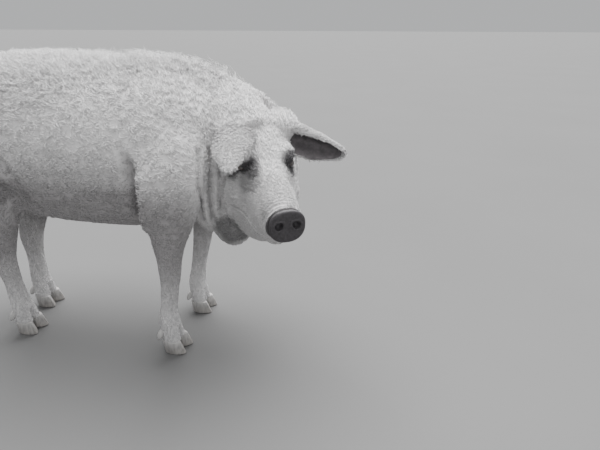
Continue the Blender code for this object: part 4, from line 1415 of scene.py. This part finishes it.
def fold_distance(points, with_body=True):
    """The distance of each point from the nearest fold of the neck and, if asked, of the body."""
    near = [path_distance(points, way) for way, _, _ in NECK_LINES]
    if with_body:
        near += [path_distance(on_left(points), path) for path, _, _ in BODY_FOLDS]
    return np.minimum.reduce(near)


def skin_tufts(root, normal, mouth, *sizes, **shape):
    """Tufts on the skin, with their roots' places on its unwrap and its markings there."""
    verts = tuft_arrays(root, normal, lies(root, normal), *sizes, **shape)
    return verts, unwrap(root), markings(root, normal, mouth)


def body_coat(skin, mouth):
    """The curled coat of the body and neck, and the short hair of the legs."""

    def density(points):
        dense = 1.0 + 2.2 * ramp(points[:, 2], 0.36, 0.24) + 0.5 * ramp(points[:, 2], 0.60, 0.70)
        return dense * (1 - in_head(points)) * bare_share(points, mouth)

    root, normal = scattered(skin, BODY_TUFTS, density)
    leg = ramp(root[:, 2], 0.36, 0.24)
    flank = ramp(root[:, 2], 0.70, 0.62)
    nape = ramp(head_place(root)[0], -0.17, -0.03)
    shorter = 0.45 + 0.55 * ramp(fold_distance(root), 0.004, 0.030)
    depth = coat_depth(root) * shorter
    length = (0.007 + (0.50 - 0.12 * flank) * depth) * (0.5 + 0.5 * shorter)
    half = (0.00100 - 0.00048 * leg) * (0.7 + 0.3 * shorter)
    depth = depth * (0.90 - 0.32 * flank - 0.2 * leg) * (1 - 0.5 * nape)
    shape = {"curl": 0.8 * (1 - leg), "swing": 0.95 - 0.70 * leg}
    return skin_tufts(root, normal, mouth, length, depth, half, 5, **shape)


def crest_hairs(skin, mouth):
    """Longer, thinner hairs that stand off the back and the neck's crest."""

    def density(points):
        crest = ramp(points[:, 0], 0.10, 0.28) * ramp(points[:, 2], 0.60, 0.68)
        back = 0.50 * ramp(points[:, 2], 0.66, 0.73) + crest
        return back * ramp(head_place(points)[0], -0.06, -0.16) * bare_share(points, mouth)

    root, normal = scattered(skin, CREST_HAIRS, density)
    ahead = ramp(root[:, 0], 0.0, 0.30)
    length = 0.023 + 0.015 * ahead
    depth = 0.022 + 0.013 * ahead
    half = np.full(len(root), 0.0005)
    return skin_tufts(root, normal, mouth, length, depth, half, 9, swing=0.8, gather=0.7)


def face_coat(skin, mouth):
    """The short hair of the head."""

    def density(points):
        dense = 1 + 0.8 * ramp(head_place(points)[0], 0.10, 0.2)
        return in_head(points) * bare_share(points, mouth) * dense

    root, normal = scattered(skin, FACE_TUFTS, density)
    depth = coat_depth(root) * (0.35 + 0.35 * ramp(fold_distance(root), 0.003, 0.02))
    half = 0.0008 - 0.0003 * ramp(head_place(root)[0], 0.12, 0.24)
    return skin_tufts(root, normal, mouth, 0.0055 + 0.9 * depth, depth, half, 4, swing=0.4)


def ear_coat(mesh, ear):
    """The hair of an ear's outer side, longer at its root, its tip and a flat margin."""
    _, place, way, cup, _, length, over = ear
    origin, way, _, across = (np.array(v) for v in ear_frame(place, way, cup))

    def density(points):
        reach = (points - origin) @ way
        return (reach > 0.016) * (1 + 1.5 * ramp(reach, 0.80 * length, length))

    root, normal = scattered(mesh, EAR_TUFTS, density, hollow=0.0)
    reach = (root - origin) @ way / (length + EAR_SUNK)
    aside = (root - origin) @ across
    lie = unit(along_skin(way[None] + np.outer(np.tanh(aside / 0.02) * 0.5, across), normal))
    margin = ramp(np.abs(aside), 0.020, 0.036) * (over == 0)
    depth = 0.0036 + 0.004 * ramp(reach, 0.45, 0.10) + 0.003 * margin
    long = 0.009 + 0.007 * ramp(reach, 0.5, 0.1) + 0.004 * ramp(reach, 0.85, 1.0) + 0.004 * margin
    half = np.full(len(root), 0.00070)
    verts = tuft_arrays(root, normal, lie, long, depth, half, 5, swing=0.6)
    uv = np.column_stack([0.61 + 0.06 * reach + 0.07 * (over > 0), 0.55 + 0.8 * (aside + 0.06)])
    return verts, uv, plain_marks(len(root), 0.30)


def tail_coat(mesh):
    """The tail's hair, which grows into a brush towards its tip."""

    def density(points):
        return (points[:, 0] < -0.450) * (0.15 + ramp(points[:, 2], 0.62, 0.40))

    root, normal = scattered(mesh, TAIL_TUFTS, density)
    low = ramp(root[:, 2], 0.46, 0.38)
    lie = unit(along_skin(np.tile((-0.1, 0.0, -1.0), (len(root), 1)), normal))
    length = 0.014 + 0.034 * low
    depth = 0.004 + 0.006 * low
    half = np.full(len(root), 0.0010)
    verts = tuft_arrays(root, normal, lie, length, depth, half, 6, curl=0.35, swing=0.25, gather=0.3)
    uv = np.column_stack([0.80 + 0.3 * (root[:, 1] + 0.08), 0.60 + 0.5 * root[:, 2]])
    return verts, uv, plain_marks(len(root), 0.25)


def all_coats(skin, mouth, ears, tail, material):
    """Every tuft: body and neck, legs, face, ears and tail, in pieces of a fair size."""
    batches = [body_coat(skin, mouth), crest_hairs(skin, mouth), face_coat(skin, mouth), tail_coat(tail)]
    batches += [ear_coat(mesh, row) for mesh, row in zip(ears, EARS)]
    verts, uv, marks = (np.concatenate([b[i] for b in batches]) for i in range(3))
    order = np.argsort(uv[:, 0], kind="stable")
    for i, part in enumerate(np.array_split(order, math.ceil(len(verts) / PIECE_TUFTS))):
        coat_object(f"coat_{i + 1}", verts[part], uv[part], marks[part], material)


def feet(horn):
    """All hooves in one piece, and all dewclaws in another."""
    corners = [f"{leg[0]}_{which}" for leg in LEG_PLACES for which in ("inner", "outer")]
    for name, kind, shape in (("hooves", "hoof", toe), ("dewclaws", "dewclaw", dewclaw)):
        objects = [shape(*foot_place(leg), side) for leg in LEG_PLACES for side in (-1, 1)]
        nodes = [f"{kind}_{corner}" for corner in corners]
        piece(name, taken(joined(name + "_form", objects)), [horn], "horn", *nodes)


def light(name, kind, place, **values):
    data = bpy.data.lights.new(name, kind)
    for key, value in values.items():
        setattr(data, key, value)
    obj = add_object(name, data)
    obj.location = place
    obj.rotation_euler = (Vector(LIT_PLACE) - Vector(place)).to_track_quat("-Z", "Y").to_euler()


def studio():
    corners = [(FLOOR_HALF * x, FLOOR_HALF * y, 0) for x, y in ((-1, -1), (1, -1), (1, 1), (-1, 1))]
    floor_mesh = bpy.data.meshes.new("floor")
    floor_mesh.from_pydata(corners, [], [(0, 1, 2, 3)])
    floor_mesh.materials.append(floor_material())
    floor = add_object("floor", floor_mesh)
    world = bpy.data.worlds.new("studio")
    bpy.context.scene.world = world
    world.use_nodes = True
    background = world.node_tree.nodes["Background"]
    background.inputs["Color"].default_value = (*SKY, 1.0)
    background.inputs["Strength"].default_value = SKY_STRENGTH
    light("key", "SUN", KEY_PLACE, energy=KEY_STRENGTH, angle=KEY_ANGLE)
    light("front", "AREA", FRONT_PLACE, energy=FRONT_POWER, size=FRONT_SIZE)


def camera():
    """The photo's camera, from which the pig has the photo's place in the picture."""
    data = bpy.data.cameras.new("camera")
    data.sensor_width = SENSOR_WIDTH
    data.lens = FOCAL_PIXELS / PHOTO_WIDTH * SENSOR_WIDTH
    obj = add_object("camera", data)
    obj.location = Vector(CAMERA_PLACE) + SHIFT
    obj.rotation_euler = heading(CAMERA_TURN, CAMERA_PITCH).to_track_quat("-Z", "Y").to_euler()
    bpy.context.scene.camera = obj


def main():
    skin_stuff = skin_material()
    inner_ear = dark_skin("inner_ear", INNER_EAR, 0.7, 320.0, 0.0008)
    disc_stuff = dark_skin("snout_disc", DISC, 0.52, 620.0, 0.0006)
    eye_stuff = eye_material()
    skin, mouth = body_skin()
    ears = [ear_mesh(*row) for row in EARS]
    tail = tail_mesh()
    mark(skin, markings(points_of(skin), normals_of(skin), mouth))
    all_coats(skin, mouth, ears, tail, coat_material())
    flesh = ["torso", "neck", "head"] + ["leg_" + row[0] for row in LEG_PLACES]
    piece("skin", skin, [skin_stuff], "coat", *flesh)
    piece("tail_skin", tail, [skin_stuff], "coat", "tail")
    for mesh, row in zip(ears, EARS):
        piece(row[0] + "_skin", mesh, [skin_stuff, inner_ear], "coat", row[0])
    piece("snout_disc", disc_mesh(), [disc_stuff], "bare_skin", "nose")
    for name, (centre, look) in EYES.items():
        piece(name + "_ball", eye_mesh(centre, look), [eye_stuff], "eye", name)
    feet(horn_material())
    studio()
    camera()


main()
